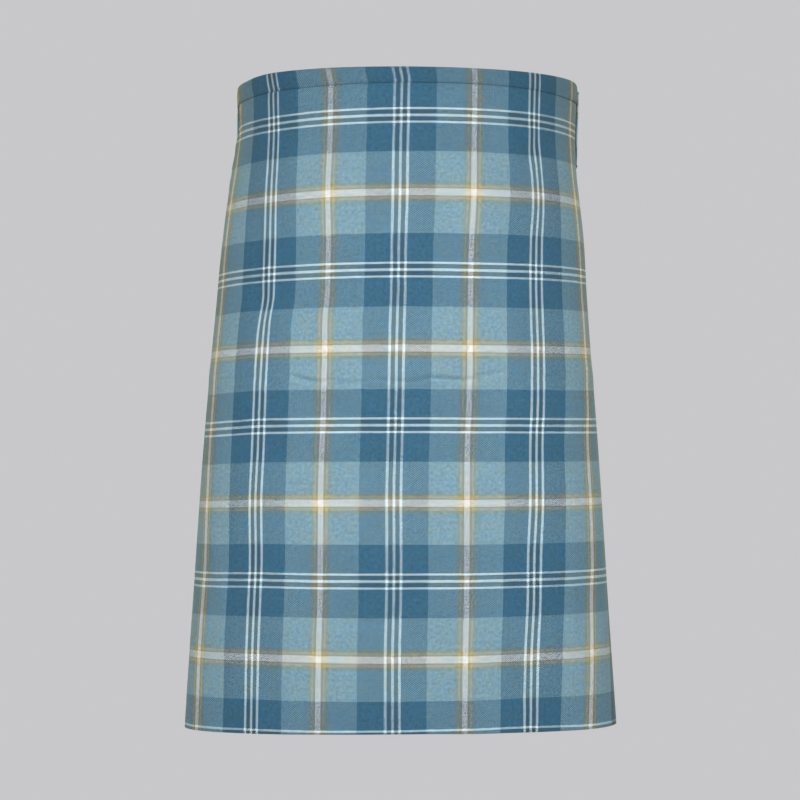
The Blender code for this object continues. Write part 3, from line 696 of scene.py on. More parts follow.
def make_under_apron(cloth, finish):
    """Stretch that runs on from the last pleat, inside the over-apron, to the inner end."""
    outline = Outline(hanging_rows(LENGTH - UNDER_HEM_LIFT, UNDER_ROWS))
    start = outline.last_pleat + LAST_LEG + SEAM_UNDER
    along = spread(start, outline.inner_end, UNDER_COLUMNS)
    drops = np.broadcast_to(outline.drops[:, None], along.shape)
    across = along - outline.round
    out = creases(CREASES_UNDER, across, drops) + UNDER_WAVES * waves(across, drops)
    out = out - outline.row["inner"]
    points = outline.place(along, out)
    grids = [(points, np.stack((across, drops), axis=-1), drops)]
    piece = make_piece("under_apron_cloth", grids, finish, ("under_apron",))
    thicken(piece, cloth.wall)


def rounded(turn, power):
    """Sine and cosine of a rounded rectangle: each keeps its sign and is raised to 2 over power."""
    sine, cosine = np.sin(turn), np.cos(turn)
    return (np.sign(sine) * np.abs(sine) ** (2.0 / power),
            np.sign(cosine) * np.abs(cosine) ** (2.0 / power))


def round_off(from_start, to_end, reach):
    """Share of its thickness that a strip has near its ends, which close in a quarter circle."""
    inward = np.clip(np.minimum(from_start, to_end) / reach, 0.0, 1.0)
    return np.sqrt(np.clip(1.0 - (1.0 - inward) ** 2, 0.0, 1.0))


# Place along the band, and how far its weave lies to the wearer's left of the cloth below, at its
# seam and at its top edge, in millimetres.
BAND_LIE = ((-248.0, -19.0, -21.0), (-178.0, 0.0, -3.5), (-136.0, 2.3, -2.1), (-68.0, 1.2, -2.9),
            (0.0, 1.3, -1.7), (68.0, 0.4, -0.8), (136.0, 0.0, -0.1), (240.0, 0.0, 0.0))
# Place along the band, and how far its top edge rises and its seam falls there, in millimetres.
BAND_SWELL = ((-330.0, 0.0, 0.0), (-265.0, -0.8, 2.5), (-215.0, -1.4, 4.8), (-184.0, -0.8, 3.5),
              (-160.0, 0.9, 2.3), (-136.0, 1.8, 1.2), (-68.0, 1.2, 0.2), (0.0, 0.3, -0.7),
              (68.0, 0.0, -0.5), (136.0, 0.3, 0.8), (200.0, 0.6, 3.4), (245.0, 0.3, 2.2),
              (310.0, 0.0, 0.0))
BAND_WEFT = 0.0153          # drop in the loom of the thread at the band's top edge
BAND_END = 0.0022           # the band's ends round off over this much
BAND_END_COLUMNS = (0.2, 0.5, 1.0, 1.6)    # extra columns there, in millimetres from the end
BAND_POWER = 3.4            # how square its section is
PUCKER = 0.00012            # height of its puckers
PUCKER_LENGTH = 0.021
PUCKER_DRIFT = (1.5, 0.037)                # radians by which they drift, and over what length


def band_swell(along):
    """How far the band's top edge rises, and its seam falls, at places along it."""
    table = np.array(BAND_SWELL) * MM
    return [smooth_between(table[:, 0], table[:, k], np.clip(along, table[0, 0], table[-1, 0]))
            for k in (1, 2)]


def make_waistband(finish):
    """Folded strip along the top edge, puffed a little and tucked in to its seam with the body.

    A rounded rectangle is carried along the band: across the front, round over the pleats, and on
    underneath after one small step inward.
    """
    turn = np.linspace(-math.pi, math.pi, BAND_TURNS)
    side, up = rounded(turn, BAND_POWER)
    height = BAND_HEIGHT + SEAM / 4
    outline = Outline(height / 2 * (1.0 - up))
    along = spread(outline.free_edge[:1], outline.inner_end[:1], BAND_COLUMNS)[0]
    start, end = along[0], along[-1]
    extra = np.array(BAND_END_COLUMNS) * MM
    along = np.unique(np.concatenate((along, start + extra, end - extra)))
    pleats_from, pleats_to = outline.first_pleat[0, 0], outline.last_pleat[0, 0]
    steps_at = (pleats_from - BAND_GATHER, pleats_from, pleats_to + BAND_STEP[0],
                pleats_to + BAND_STEP[1])
    face = np.interp(along, steps_at[2:], (BAND_OUT, BAND_UNDER))
    wall = np.interp(along, steps_at, (BAND_WALL, BAND_WALL_PLEATS, BAND_WALL_PLEATS, BAND_WALL))
    thick = wall * round_off(along - start, end - along, BAND_END)
    drift = PUCKER_DRIFT[0] * np.sin(along / PUCKER_DRIFT[1])
    puckers = PUCKER * np.sin(TAU * along / PUCKER_LENGTH + drift)
    out = face - wall / 2 + side[:, None] * thick / 2
    out = out + puckers * np.maximum(side[:, None], 0.0) * thick / wall
    share = outline.drops[:, None] / BAND_HEIGHT
    rises, falls = band_swell(along)
    points = outline.place(along[None, :], out, share * falls - (1.0 - share) * rises)
    table = np.array(BAND_LIE) * MM
    at_seam, at_top = (smooth_between(table[:, 0], table[:, k], along) for k in (1, 2))
    lying = loom_place(along[None, :], np.full((1, len(along)), BAND_HEIGHT))[0, :, 0]
    drops = outline.drops[:, None] + 0.0 * along
    across = lying - at_seam - (at_top - at_seam) * (1.0 - drops / BAND_HEIGHT)
    down = BAND_WEFT + np.where(turn[:, None] > 0, drops, -drops)
    grids = [(points, np.stack((across, down), axis=-1), drops)]
    piece = make_piece("waistband_cloth", grids, finish, ("waistband",), weld=True)


def make_belt_loop(name, side, finish, thread):
    """Flat self-cloth strip, sewn down at both ends and standing off between them."""
    path, far = smooth_path(LOOP, LOOP_STEP)
    slope = np.gradient(path, axis=0)
    slope /= np.linalg.norm(slope, axis=1)[:, None]
    edge, face = rounded(np.linspace(-math.pi, math.pi, LOOP_COLUMNS), LOOP_POWER)
    shrink = round_off(far, far[-1] - far, LOOP_END)[:, None]
    outline = Outline(path[:, 0])
    narrow = LOOP_END_WIDTH + (1.0 - LOOP_END_WIDTH) * shrink
    along = side * (outline.widest + LOOP_BEHIND) - edge[None, :] * LOOP_WIDTH / 2 * narrow
    off = face[None, :] * LOOP_WALL / 2 * shrink
    points = outline.place(along, path[:, 1:2] + off * slope[:, 0:1], -off * slope[:, 1:2])
    girth = np.cumsum(np.hypot(*np.diff(np.vstack((edge * LOOP_WIDTH, face * LOOP_WALL)), prepend=0.0)))
    across = LOOP_WEAVE[0] + girth[None, :] / 2
    uv = np.stack((across + 0.0 * points[..., 0], far[:, None] + LOOP_WEAVE[1] + 0.0 * across), axis=-1)
    piece = make_piece(name + "_cloth", [(points, uv)], finish, (name,), weld=True)
    centres, outward = [], []
    for drop, out in LOOP_TACKS:
        ring = Outline([drop * MM])
        middle = side * (ring.widest + LOOP_BEHIND)
        beside = np.linspace(-0.5, 0.5, TACKS)[None, :] * (LOOP_WIDTH - TACK_MARGIN)
        centres.append(ring.place(middle + beside, out * MM)[0])
        direction = ring.place(middle, (out + 1.0) * MM)[0] - ring.place(middle, out * MM)[0]
        outward.append(np.repeat(direction / MM, TACKS, axis=0))
    centres, outward = np.concatenate(centres), np.concatenate(outward)
    upward = np.broadcast_to((0.0, 0.0, 1.0), centres.shape)
    make_stitches(name + "_tacks", centres, upward, outward, TACK_LENGTH, THREAD, thread,
                  "tartan_cloth")


def make_stitches(name, centres, lengthwise, outward, length, radius, finish, slot):
    """One slim egg for each stitch: half its length times the sine of one angle lengthwise, and its
    radius times that angle's cosine round it.
    """
    rise = np.linspace(-math.pi / 2, math.pi / 2, STITCH_ROWS)[:, None, None]
    turn = np.linspace(0.0, TAU, STITCH_COLUMNS)[None, :, None]
    lengthwise, outward, centres = (v[:, None, None, :] for v in (lengthwise, outward, centres))
    aside = np.cross(lengthwise, outward)
    points = (centres + lengthwise * (length / 2) * np.sin(rise)
              + (outward * np.cos(turn) + aside * np.sin(turn)) * radius * np.cos(rise))
    return make_piece(name, [(points, None)], finish, weld=True)


# ---- strap and buckle ----------------------------------------------------------------------------
def by_buckle(from_bar, out, up=0.0):
    """Places by the buckle: forward from its bar, out from the outline, and up from the strap's
    centre line. The outline at the strap's own drop serves for all of them.
    """
    outline = Outline([STRAP_DROP])
    from_bar, out, up = np.broadcast_arrays(from_bar, out, up)
    along = from_bar.reshape(1, -1) - outline.widest - BUCKLE_BAR
    return outline.place(along, out.reshape(1, -1), -up.reshape(1, -1))[0].reshape(*from_bar.shape, 3)


def holed_stretch(middle, half_length, half_width, hole):
    """Distance and width of points between a rounded hole and the edges of a stretch of strip.

    Rings run from the hole's rim to the rectangle, in shares that widen outward. A slot's rim is
    nearer to a rectangle than a punched hole's circle.
    """
    across = np.linspace(-1.0, 1.0, STRIP_ROWS)
    lengthwise = np.linspace(-1.0, 1.0, HOLE_COLUMNS)
    side = np.ones(HOLE_COLUMNS - 1)
    rim_x = np.concatenate((np.ones(STRIP_ROWS), lengthwise[-2::-1], -np.ones(STRIP_ROWS - 1),
                            lengthwise[1:]))
    rim_y = np.concatenate((across, side, across[-2::-1], -side))
    sideways, ahead = rounded(np.arctan2(rim_y, rim_x), 2.0 if hole[0] == hole[1] else 3.0)
    share = np.linspace(0.0, 1.0, HOLE_RINGS)[:, None] ** RINGS_WIDEN
    hole_x, hole_y = hole[0] / 2 * ahead, hole[1] / 2 * sideways
    distance = middle + hole_x + (rim_x * half_length - hole_x) * share
    return distance, hole_y + (rim_y * half_width - hole_y) * share


def strip_grids(path, far, half_width, holes, tail=0.0):
    """Grids of a flat strip carried along a path, with its holes; a tail rounds its far end."""
    def lay(distance, width):
        from_bar = np.interp(distance, far, path[:, 0])
        out = np.interp(distance, far, path[:, 1])
        past = np.clip((distance - far[-1] + tail) / tail, 0.0, 1.0) if tail else 0.0
        narrow = 1.0 - TAIL_NARROWS[0] * past ** TAIL_NARROWS[1]
        points = by_buckle(from_bar, out, width * narrow)
        return points, np.stack((distance, width * narrow), axis=-1)

    grids = []
    start = 0.0
    spans = [(middle - length / 2 - HOLE_MARGIN, middle + length / 2 + HOLE_MARGIN)
             for middle, length, _ in holes]
    for low, high in spans + [(far[-1], None)]:
        if low > start:
            count = max(3, int((low - start) / STRIP_STEP))
            distance = np.linspace(start, low, count)[None, :]
            width = np.linspace(half_width, -half_width, STRIP_ROWS)[:, None]
            grids.append(lay(distance + 0.0 * width, width + 0.0 * distance))
        start = high
    for (middle, length, wide), (low, high) in zip(holes, spans):
        grids.append(lay(*holed_stretch(middle, (high - low) / 2, half_width, (length, wide))))
    return grids


def nearest(path, far, from_bar, after=0.0):
    """Distance along a path where it passes a place by the buckle, past a given distance."""
    gap = np.abs(path[:, 0] - from_bar) + np.where(far < after, 1.0, 0.0)
    return float(far[np.argmin(gap)])


def box_of_stitches(path, ahead, behind, half_width, stand, pitch):
    """Centres, directions and outward directions of stitches round a rectangle on a strip."""
    sides = (((ahead, half_width), (behind, half_width)), ((behind, half_width), (behind, -half_width)),
             ((behind, -half_width), (ahead, -half_width)), ((ahead, -half_width), (ahead, half_width)))
    starts, ends = [], []
    for (f0, w0), (f1, w1) in sides:
        count = max(2, int(round(math.hypot(f1 - f0, w1 - w0) / pitch)))
        share = (np.arange(count) + 0.5) / count
        for reach, found in ((-STITCH_ASIDE, starts), (STITCH_ASIDE, ends)):
            t = share + reach / count
            found.append(np.column_stack((f0 + (f1 - f0) * t, w0 + (w1 - w0) * t)))
    starts, ends = np.concatenate(starts), np.concatenate(ends)
    from_bar, out = path[np.argsort(path[:, 0])].T
    lay = [by_buckle(e[:, 0], np.interp(e[:, 0], from_bar, out) + stand, e[:, 1])
           for e in (starts, ends)]
    middle = (starts + ends) / 2
    base = np.interp(middle[:, 0], from_bar, out)
    outward = (by_buckle(middle[:, 0], base + MM, middle[:, 1])
               - by_buckle(middle[:, 0], base, middle[:, 1])) / MM
    direction = lay[1] - lay[0]
    direction /= np.linalg.norm(direction, axis=1)[:, None]
    return (lay[0] + lay[1]) / 2, direction, outward


def make_strip(name, path, far, size, holes, leather, tail=0.0):
    """Strip of leather along a path; size is its width, its wall and the rounding of its edges."""
    width, wall, edge = size
    grids = strip_grids(path, far, width / 2, holes, tail)
    strip = make_piece(name + "_leather", grids, leather, (name,), weld=True)
    face_outward(strip)
    thicken(strip, wall)
    soften_edges(strip, edge)


def sew_strip(name, path, box, size, radius, pitch, thread):
    """Box of stitches on a strip's flat stretch; box is its two ends and the margin beside it."""
    ahead, behind, margin = box
    sewn = box_of_stitches(path, ahead, behind, size[0] / 2 - margin, size[1] / 2, pitch)
    make_stitches(name + "_stitches", *sewn, STITCH_SHARE * pitch, radius, thread, "black_leather")


def make_strap(fittings, leather, thread):
    """Leather strap sewn to the over-apron's edge, through the buckle and on over the tab."""
    size = (STRAP_WIDTH, STRAP_WALL, STRAP_EDGE)
    path, far = smooth_path(STRAP, STRAP_STEP)
    holes = [(nearest(path, far, PRONG_HOLE[0]), PRONG_HOLE[1], PRONG_HOLE[2])]
    holes += [(nearest(path, far, from_bar), PUNCH, PUNCH) for from_bar in PUNCHED]
    make_strip("side_strap", path, far, size, holes, leather, STRAP_TAIL)
    flat = path[path[:, 0] > STRAP_FLAT_FROM]
    sew_strip("side_strap", flat, STRAP_SEWN, size, THREAD, fittings.stitch_pitch, thread)


def make_tab(fittings, leather, thread):
    """Leather tab folded round the buckle's bar, slotted for the prong and sewn behind it."""
    size = (TAB_WIDTH, TAB_WALL, TAB_EDGE)
    path, far = smooth_path(TAB, TAB_STEP)
    start = nearest(path, far, TAB_SLOT[0])
    end = nearest(path, far, TAB_SLOT[1], after=start + TAB_ROUND)
    make_strip("buckle_tab", path, far, size, [((start + end) / 2, end - start, TAB_SLOT[2])], leather)
    flat = path[(far > end) & (path[:, 0] < TAB_FLAT_TO)]
    sew_strip("buckle_tab", flat, TAB_SEWN, size, TAB_THREAD, fittings.stitch_pitch, thread)


def face_outward(piece):
    """Turn an open strip's faces so that more of them point away from the waist's axis than to it."""
    mesh = piece.data
    centres = np.zeros(len(mesh.polygons) * 3)
    normals = np.zeros(len(mesh.polygons) * 3)
    mesh.polygons.foreach_get("center", centres)
    mesh.polygons.foreach_get("normal", normals)
    outward = (centres.reshape(-1, 3) * (1, 1, 0) * normals.reshape(-1, 3)).sum()
    if outward < 0:
        mesh.flip_normals()


def tube(path, radii, guide, closed=False):
    """Round wire: at each point of the path a circle in the plane square to it, of that radius.

    The circle's first direction is the guide's, made square to the path.
    """
    if closed:
        ahead = np.roll(path, -1, axis=0) - np.roll(path, 1, axis=0)
    else:
        ahead = np.gradient(path, axis=0)
    ahead /= np.linalg.norm(ahead, axis=1)[:, None]
    first = guide - (guide * ahead).sum(axis=1)[:, None] * ahead
    first /= np.linalg.norm(first, axis=1)[:, None]
    second = np.cross(ahead, first)
    turn = np.linspace(0.0, TAU, WIRE_COLUMNS)[None, :, None]
    rings = (path[:, None] + (first[:, None] * np.cos(turn) + second[:, None] * np.sin(turn))
             * radii[:, None, None])
    if closed:
        rings = np.concatenate((rings, rings[:1]))
    return rings


def capped(path, radius):
    """A path lengthened by a ball's worth at each end, and the radii that close it."""
    rise = np.radians(np.linspace(90.0, 0.0, CAP_ROWS, endpoint=False))
    first = (path[0] - path[1]) / np.linalg.norm(path[0] - path[1])
    last = (path[-1] - path[-2]) / np.linalg.norm(path[-1] - path[-2])
    head = path[0] + first * radius * np.sin(rise)[:, None]
    tail = path[-1] + last * radius * np.sin(rise[::-1])[:, None]
    radii = np.concatenate((radius * np.cos(rise), np.full(len(path), radius),
                            radius * np.cos(rise[::-1])))
    return np.concatenate((head, path, tail)), radii


def make_buckle(metal):
    """Rectangular wire frame with rounded corners, and the prong hooked round its bar."""
    half = BUCKLE_HEIGHT / 2
    low, high = BUCKLE_CORNER, BUCKLE_REACH - BUCKLE_CORNER
    top = half - BUCKLE_CORNER
    angle = np.radians(np.linspace(0.0, 90.0, CORNER_POINTS))
    forward, up = [], []
    for centre, side, quarter in ((high, top, 0), (low, top, 1), (low, -top, 2), (high, -top, 3)):
        turn = angle + quarter * math.pi / 2
        forward.append(centre + BUCKLE_CORNER * np.cos(turn))
        up.append(side + BUCKLE_CORNER * np.sin(turn))
    forward, up = np.concatenate(forward), np.concatenate(up)
    out = FRAME_AT_BAR + (FRAME_AT_FAR_SIDE - FRAME_AT_BAR) * forward / BUCKLE_REACH
    path = by_buckle(forward, out, up)
    guide = by_buckle(forward, out + MM, up) - path
    rings = tube(path, np.full(len(path), BUCKLE_WIRE / 2), guide, closed=True)
    make_piece("side_buckle_frame", [(rings, None)], metal, ("side_buckle",),
               weld=True)
    places, _ = smooth_path(PRONG, PRONG_STEP)
    path, radii = capped(by_buckle(places[:, 0], places[:, 1]), PRONG_WIRE / 2)
    guide = np.broadcast_to((0.0, 0.0, 1.0), path.shape)
    make_piece("buckle_prong_wire", [(tube(path, radii, guide), None)], metal,
               ("buckle_prong",), weld=True)


def make_button_thread(thread):
    """Two crossed strands of thread through the button's holes."""
    outline = Outline([BAND_HEIGHT / 2])
    along = outline.inner_end - BUTTON_FROM_END
    stand, radius = BUTTON_THREAD
    out = BAND_UNDER - BAND_WALL - BUTTON_SEAT - BUTTON_THICKNESS - stand
    centre = outline.place(along, out)[0]
    inward = outline.place(along, out - MM)[0] - centre
    inward /= MM
    across = np.cross(inward, (0.0, 0.0, 1.0))
    slants = np.array([(1.0, 1.0), (1.0, -1.0)]) / math.sqrt(2.0)
    lengthwise = across * slants[:, :1] + np.array([[0.0, 0.0, 1.0]]) * slants[:, 1:]
    make_stitches("inner_button_thread", np.repeat(centre, 2, axis=0), lengthwise,
                  np.repeat(inward, 2, axis=0), BUTTON_HOLES_ACROSS * BUTTON_STRAND, radius,
                  thread, "button_resin")


# ---- finishes ------------------------------------------------------------------------------------
FINISH_OUTPUTS = (("Colour", "Color"), ("Height", "Float"), ("Roughness", "Float"))


class Nodes:
    """Short calls that add nodes to one tree and join them as they are made."""

    def __init__(self, tree):
        self.tree = tree

    def add(self, kind, inputs=None, **options):
        """New node with its options, and with values for its inputs."""
        node = self.tree.nodes.new("ShaderNode" + kind)
        for name, value in options.items():
            setattr(node, name, value)
        self.fill(node.inputs, inputs or {})
        return node

    def fill(self, sockets, values):
        """Give sockets, by name or number, a value each: a number or another node's output."""
        for name, value in values.items():
            if isinstance(value, bpy.types.NodeSocket):
                self.tree.links.new(value, sockets[name])
            else:
                sockets[name].default_value = value

    def math(self, operation, *values):
        return self.add("Math", dict(enumerate(values)), operation=operation).outputs[0]

    def mix(self, share, first, second, blend="MIX"):
        colours = {0: share, 6: first, 7: second}
        return self.add("Mix", colours, data_type="RGBA", blend_type=blend).outputs[2]

    def range(self, value, low, high, to_low, to_high):
        node = self.add("MapRange", {"Value": value, "From Min": low, "From Max": high,
                                     "To Min": to_low, "To Max": to_high})
        return node.outputs[0]

    def noise(self, place, scale, detail=2.0, roughness=0.5, distortion=0.0, output="Fac"):
        node = self.add("TexNoise", {"Vector": place, "Scale": scale, "Detail": detail,
                                     "Roughness": roughness, "Distortion": distortion})
        return node.outputs[output]

    def bump(self, height, distance, strength):
        node = self.add("Bump", {"Height": height, "Strength": strength, "Distance": distance})
        return node.outputs["Normal"]


def group_once(name, inputs, outputs, work):
    """Shader node group with named sockets, a kind and a default for each input, made only once.

    work is given the nodes and the inputs, and says what goes to the outputs.
    """
    if name not in bpy.data.node_groups:
        group = bpy.data.node_groups.new(name, "ShaderNodeTree")
        for label, kind, default in inputs:
            socket = group.interface.new_socket(label, in_out="INPUT", socket_type="NodeSocket" + kind)
            socket.default_value = default
        for label, kind in outputs:
            group.interface.new_socket(label, in_out="OUTPUT", socket_type="NodeSocket" + kind)
        nodes = Nodes(group)
        entry = group.nodes.new("NodeGroupInput").outputs
        ending = group.nodes.new("NodeGroupOutput").inputs
        nodes.fill(ending, work(nodes, entry))
    return bpy.data.node_groups[name]


def material_once(name, look):
    """Material made only once; look is given its nodes, and says what goes to its Principled shader."""
    if name not in bpy.data.materials:
        material = bpy.data.materials.new(name)
        material.use_nodes = True
        nodes = Nodes(material.node_tree)
        nodes.fill(material.node_tree.nodes["Principled BSDF"].inputs, look(nodes))
    return bpy.data.materials[name]


def paint(colour, times=1.0, plus=0.0):
    """A display colour in linear light, paler or darker where asked, and opaque."""
    c = np.array(colour)
    light = np.where(c <= 0.04045, c / 12.92, ((c + 0.055) / 1.055) ** 2.4)
    return (*np.minimum(times * light + plus, 1.0), 1.0)


def yarn_ramp(nodes, order, counts, colours):
    """Ramp that gives a thread's colour from its order in the count, and its bulk as alpha."""
    total = sum(count for _, count, _ in counts)
    ramp = nodes.add("ValToRGB", {"Fac": nodes.math("DIVIDE", order, total)})
    ramp.color_ramp.interpolation = "CONSTANT"
    elements = ramp.color_ramp.elements
    elements.remove(elements[1])
    passed = 0.0
    for i, (name, count, bulk) in enumerate(counts):
        stop = elements[0] if i == 0 else elements.new(passed / total)
        stop.position = passed / total
        stop.color = (*colours[name][:3], bulk)
        passed += count
    return ramp.outputs["Color"], ramp.outputs["Alpha"]


def wandered(nodes, place):
    """Place in the cloth, in metres, less even than the loom left it."""
    reach, scale = WOBBLE
    wander = nodes.noise(place, scale, detail=1.0, output="Color")
    wander = nodes.add("VectorMath", {0: wander, 1: (0.5, 0.5, 0.5)}, operation="SUBTRACT").outputs[0]
    moved = nodes.add("VectorMath", {0: wander, 1: (2.0 * reach, 2.0 * reach, 0.0), 2: place},
                      operation="MULTIPLY_ADD").outputs[0]
    return nodes.add("SeparateXYZ", {"Vector": moved}).outputs


def thread_top(nodes, along, number, side, bulk, sign):
    """Height of a thread and of its round top, from the place along it, its number and the place
    across it; sign is 1 for the warp and -1 for the weft.
    """
    turn = nodes.math("MULTIPLY", nodes.math("SUBTRACT", nodes.math("ADD", along, number), 1.0), TAU / 4)
    lift = nodes.math("MULTIPLY", nodes.math("COSINE", turn), LIFT * sign)
    off_centre = nodes.math("SUBTRACT", nodes.math("FRACT", side), 0.5)
    crown = nodes.math("MULTIPLY_ADD", nodes.math("MULTIPLY", off_centre, off_centre), -4.0 * CROWN, CROWN)
    return nodes.math("MULTIPLY_ADD", bulk, BULK_LIFT, nodes.math("ADD", lift, crown)), crown


def warp_cover(nodes, entry, across):
    """How much prouder the warp stands: more towards the sides, and uneven from spot to spot."""
    cover = nodes.range(nodes.math("ABSOLUTE", across), COVER_FROM, COVER_TO, COVER_LEAST, COVER_MOST)
    amount, scale = CROWDING
    spots = nodes.noise(entry["Place"], scale, detail=1.0)
    return nodes.math("ADD", cover, nodes.range(spots, 0.2, 0.8, -amount, amount))


def wool_tint(nodes, entry, threads, tone, nap, crown, top):
    """Colour that the yarn is multiplied by: lighter or darker, redder or bluer from spot to spot,
    and darker between the threads and where they dip, painted shade, lighter on their tops and
    where they stand high, painted highlight, and darker by the Shade input, painted shade too.
    """
    slub = nodes.noise(nodes.add("CombineXYZ", {"X": threads[0], "Y": threads[1]}).outputs[0], *SLUB[:3])
    wash = nodes.noise(entry["Place"], *WASH[:3])
    light = nodes.math("MULTIPLY_ADD", nodes.math("SUBTRACT", tone, 0.5), THREAD_TONE, 1.0)
    for noise, amount in ((slub, SLUB[3]), (nap, NAP[3]), (wash, WASH[3])):
        light = nodes.math("MULTIPLY_ADD", nodes.math("SUBTRACT", noise, 0.5), amount, light)
    # painted shade between the threads and where they dip, painted highlight on their tops and high places
    gap = nodes.range(crown, 0.0, CROWN, *GAP_TONE)
    light = nodes.math("MULTIPLY", light, nodes.math("MULTIPLY", gap, nodes.range(top, *DIP, *DIP_TONE)))
    light = nodes.math("MULTIPLY", light, nodes.math("SUBTRACT", 1.0, entry["Shade"]))
    hue = nodes.math("MULTIPLY", nodes.math("SUBTRACT", nodes.noise(entry["Place"], *HUE[:3]), 0.5), HUE[3])
    red = nodes.math("MULTIPLY", light, nodes.math("ADD", 1.0, hue))
    blue = nodes.math("MULTIPLY", light, nodes.math("SUBTRACT", 1.0, hue))
    return nodes.add("CombineColor", {"Red": red, "Green": light, "Blue": blue}).outputs[0]


def weave_group(cloth):
    """Twill of two over and two under, in the tartan's counts.

    Across and down, in threads, are the place over the threads' spacing, after the place has wandered
    a little. A warp thread's order is its number folded back and forth over one count, and so is a
    weft thread's. Along each thread its height is the cosine of a quarter turn for each thread
    crossed, and each next thread is a quarter turn later. Whichever thread is higher, with its own
    round top and bulk and the warp's cover added, shows, and the other shows through it as haze.
    """
    colours = {key: paint(getattr(cloth, key)) for key, _, _ in WARP}
    warp_count, weft_count = (sum(count for _, count, _ in counts) for counts in (WARP, WEFT))

    def weave(nodes, entry):
        place = wandered(nodes, entry["Place"])
        across = nodes.math("DIVIDE", place["X"], HALF_ACROSS / warp_count)
        down = nodes.math("SUBTRACT", place["Y"], FIRST_LINES)
        down = nodes.math("ADD", nodes.math("DIVIDE", down, HALF_DOWN / weft_count), 0.5)
        warp_number = nodes.math("FLOOR", across)
        weft_number = nodes.math("FLOOR", down)
        warp_order = nodes.math("PINGPONG", nodes.math("ADD", warp_number, 0.5), warp_count)
        weft_order = nodes.math("PINGPONG", weft_number, weft_count)
        warp_colour, warp_bulk = yarn_ramp(nodes, warp_order, WARP, colours)
        weft_colour, weft_bulk = yarn_ramp(nodes, weft_order, WEFT, colours)

        warp_top, warp_crown = thread_top(nodes, down, warp_number, across, warp_bulk, 1.0)
        weft_top, weft_crown = thread_top(nodes, across, weft_number, down, weft_bulk, -1.0)
        warp_top = nodes.math("ADD", warp_top, warp_cover(nodes, entry, place["X"]))
        over = nodes.math("GREATER_THAN", warp_top, weft_top)
        top = nodes.math("MAXIMUM", warp_top, weft_top)
        crown = nodes.math("MAXIMUM", nodes.math("MULTIPLY", over, warp_crown),
                           nodes.math("MULTIPLY", nodes.math("SUBTRACT", 1.0, over), weft_crown))
        reds = [nodes.add("SeparateColor", {"Color": colour}).outputs["Red"]
                for colour in (warp_colour, weft_colour)]
        haze = nodes.range(nodes.math("MAXIMUM", *reds), 0.3, 0.6, HAZE, HAZE_BRIGHT)
        clear = nodes.math("MULTIPLY_ADD", haze, -2.0, 1.0)
        shown = nodes.mix(nodes.math("MULTIPLY_ADD", over, clear, haze), weft_colour, warp_colour)

        tones = [nodes.add("TexWhiteNoise", {"W": number}, noise_dimensions="1D").outputs["Value"]
                 for number in (weft_number, warp_number)]
        nap = nodes.noise(entry["Place"], *NAP[:3])
        # the yarn's own tone, with painted shade and highlight over the weave
        tint = wool_tint(nodes, entry, (across, down), nodes.mix(over, *tones), nap, crown, top)
        return {"Colour": nodes.mix(1.0, shown, tint, "MULTIPLY"),
                "Height": nodes.math("MULTIPLY_ADD", nap, 0.5, top),
                "Roughness": nodes.range(nap, 0.3, 0.7, *WOOL_ROUGHNESS)}

    inputs = (("Place", "Vector", (0.0, 0.0, 0.0)), ("Shade", "Float", 0.0))
    return group_once("tartan_weave", inputs, FINISH_OUTPUTS, weave)


def tartan(name, cloth, shade=0.0):
    """Woven wool: the weave group on the piece's own UV, in metres of cloth.

    The cloth darkens by shade, a painted shade, and by a bell of painted shade round the waistband's seam,
    where it is pressed in.
    """
    def look(nodes):
        # painted shade: a bell round the waistband's seam, over the drop attribute
        drop = nodes.add("Attribute", attribute_name="drop").outputs["Fac"]
        from_seam = nodes.math("DIVIDE", nodes.math("SUBTRACT", drop, BAND_HEIGHT), DITCH_REACH)
        ditch = nodes.math("EXPONENT", nodes.math("MULTIPLY", nodes.math("POWER", from_seam, 2.0), -1.0))
        place = nodes.add("UVMap", uv_map="UVMap").outputs["UV"]
        shades = nodes.math("MULTIPLY_ADD", ditch, DITCH_SHADE, shade)
        weave = nodes.add("Group", node_tree=weave_group(cloth))
        nodes.fill(weave.inputs, {"Place": place, "Shade": shades})
        return {"Base Color": weave.outputs["Colour"], "Roughness": weave.outputs["Roughness"],
                "Specular IOR Level": 0.25, "Sheen Weight": cloth.sheen, "Sheen Roughness": 0.35,
                "Sheen Tint": (0.94, 0.92, 0.42, 1.0),
                "Normal": nodes.bump(weave.outputs["Height"], distance=cloth.relief, strength=0.6)}

    return material_once(name, look)


def leather_group():
    """Grained leather: rounded cells of two sizes with darker valleys, and rubbed patches."""
    def grain(nodes, entry):
        cells = nodes.add("TexVoronoi", {"Vector": entry["Place"], "Scale": 1500.0}).outputs["Distance"]
        coarse = nodes.add("TexVoronoi", {"Vector": entry["Place"], "Scale": 620.0}).outputs["Distance"]
        patches = nodes.noise(entry["Place"], 90.0, detail=4.0)
        valley = nodes.math("ADD", nodes.math("MULTIPLY", cells, 0.6), nodes.math("MULTIPLY", coarse, 0.4))
        edge = nodes.add("NewGeometry").outputs["Pointiness"]
        rubbed = nodes.range(edge, 0.52, 0.60, 0.0, 0.7)
        rubbed = nodes.math("ADD", rubbed, nodes.range(patches, 0.55, 0.75, 0.0, 0.25))
        return {"Colour": nodes.mix(rubbed, entry["Dye"], entry["Worn"]),
                "Height": nodes.math("SUBTRACT", 1.0, valley),
                "Roughness": nodes.range(patches, 0.3, 0.7, 0.36, 0.58)}

    inputs = (("Place", "Vector", (0.0, 0.0, 0.0)), ("Dye", "Color", (0.02, 0.02, 0.02, 1.0)),
              ("Worn", "Color", (0.08, 0.08, 0.08, 1.0)))
    return group_once("leather_grain", inputs, FINISH_OUTPUTS, grain)


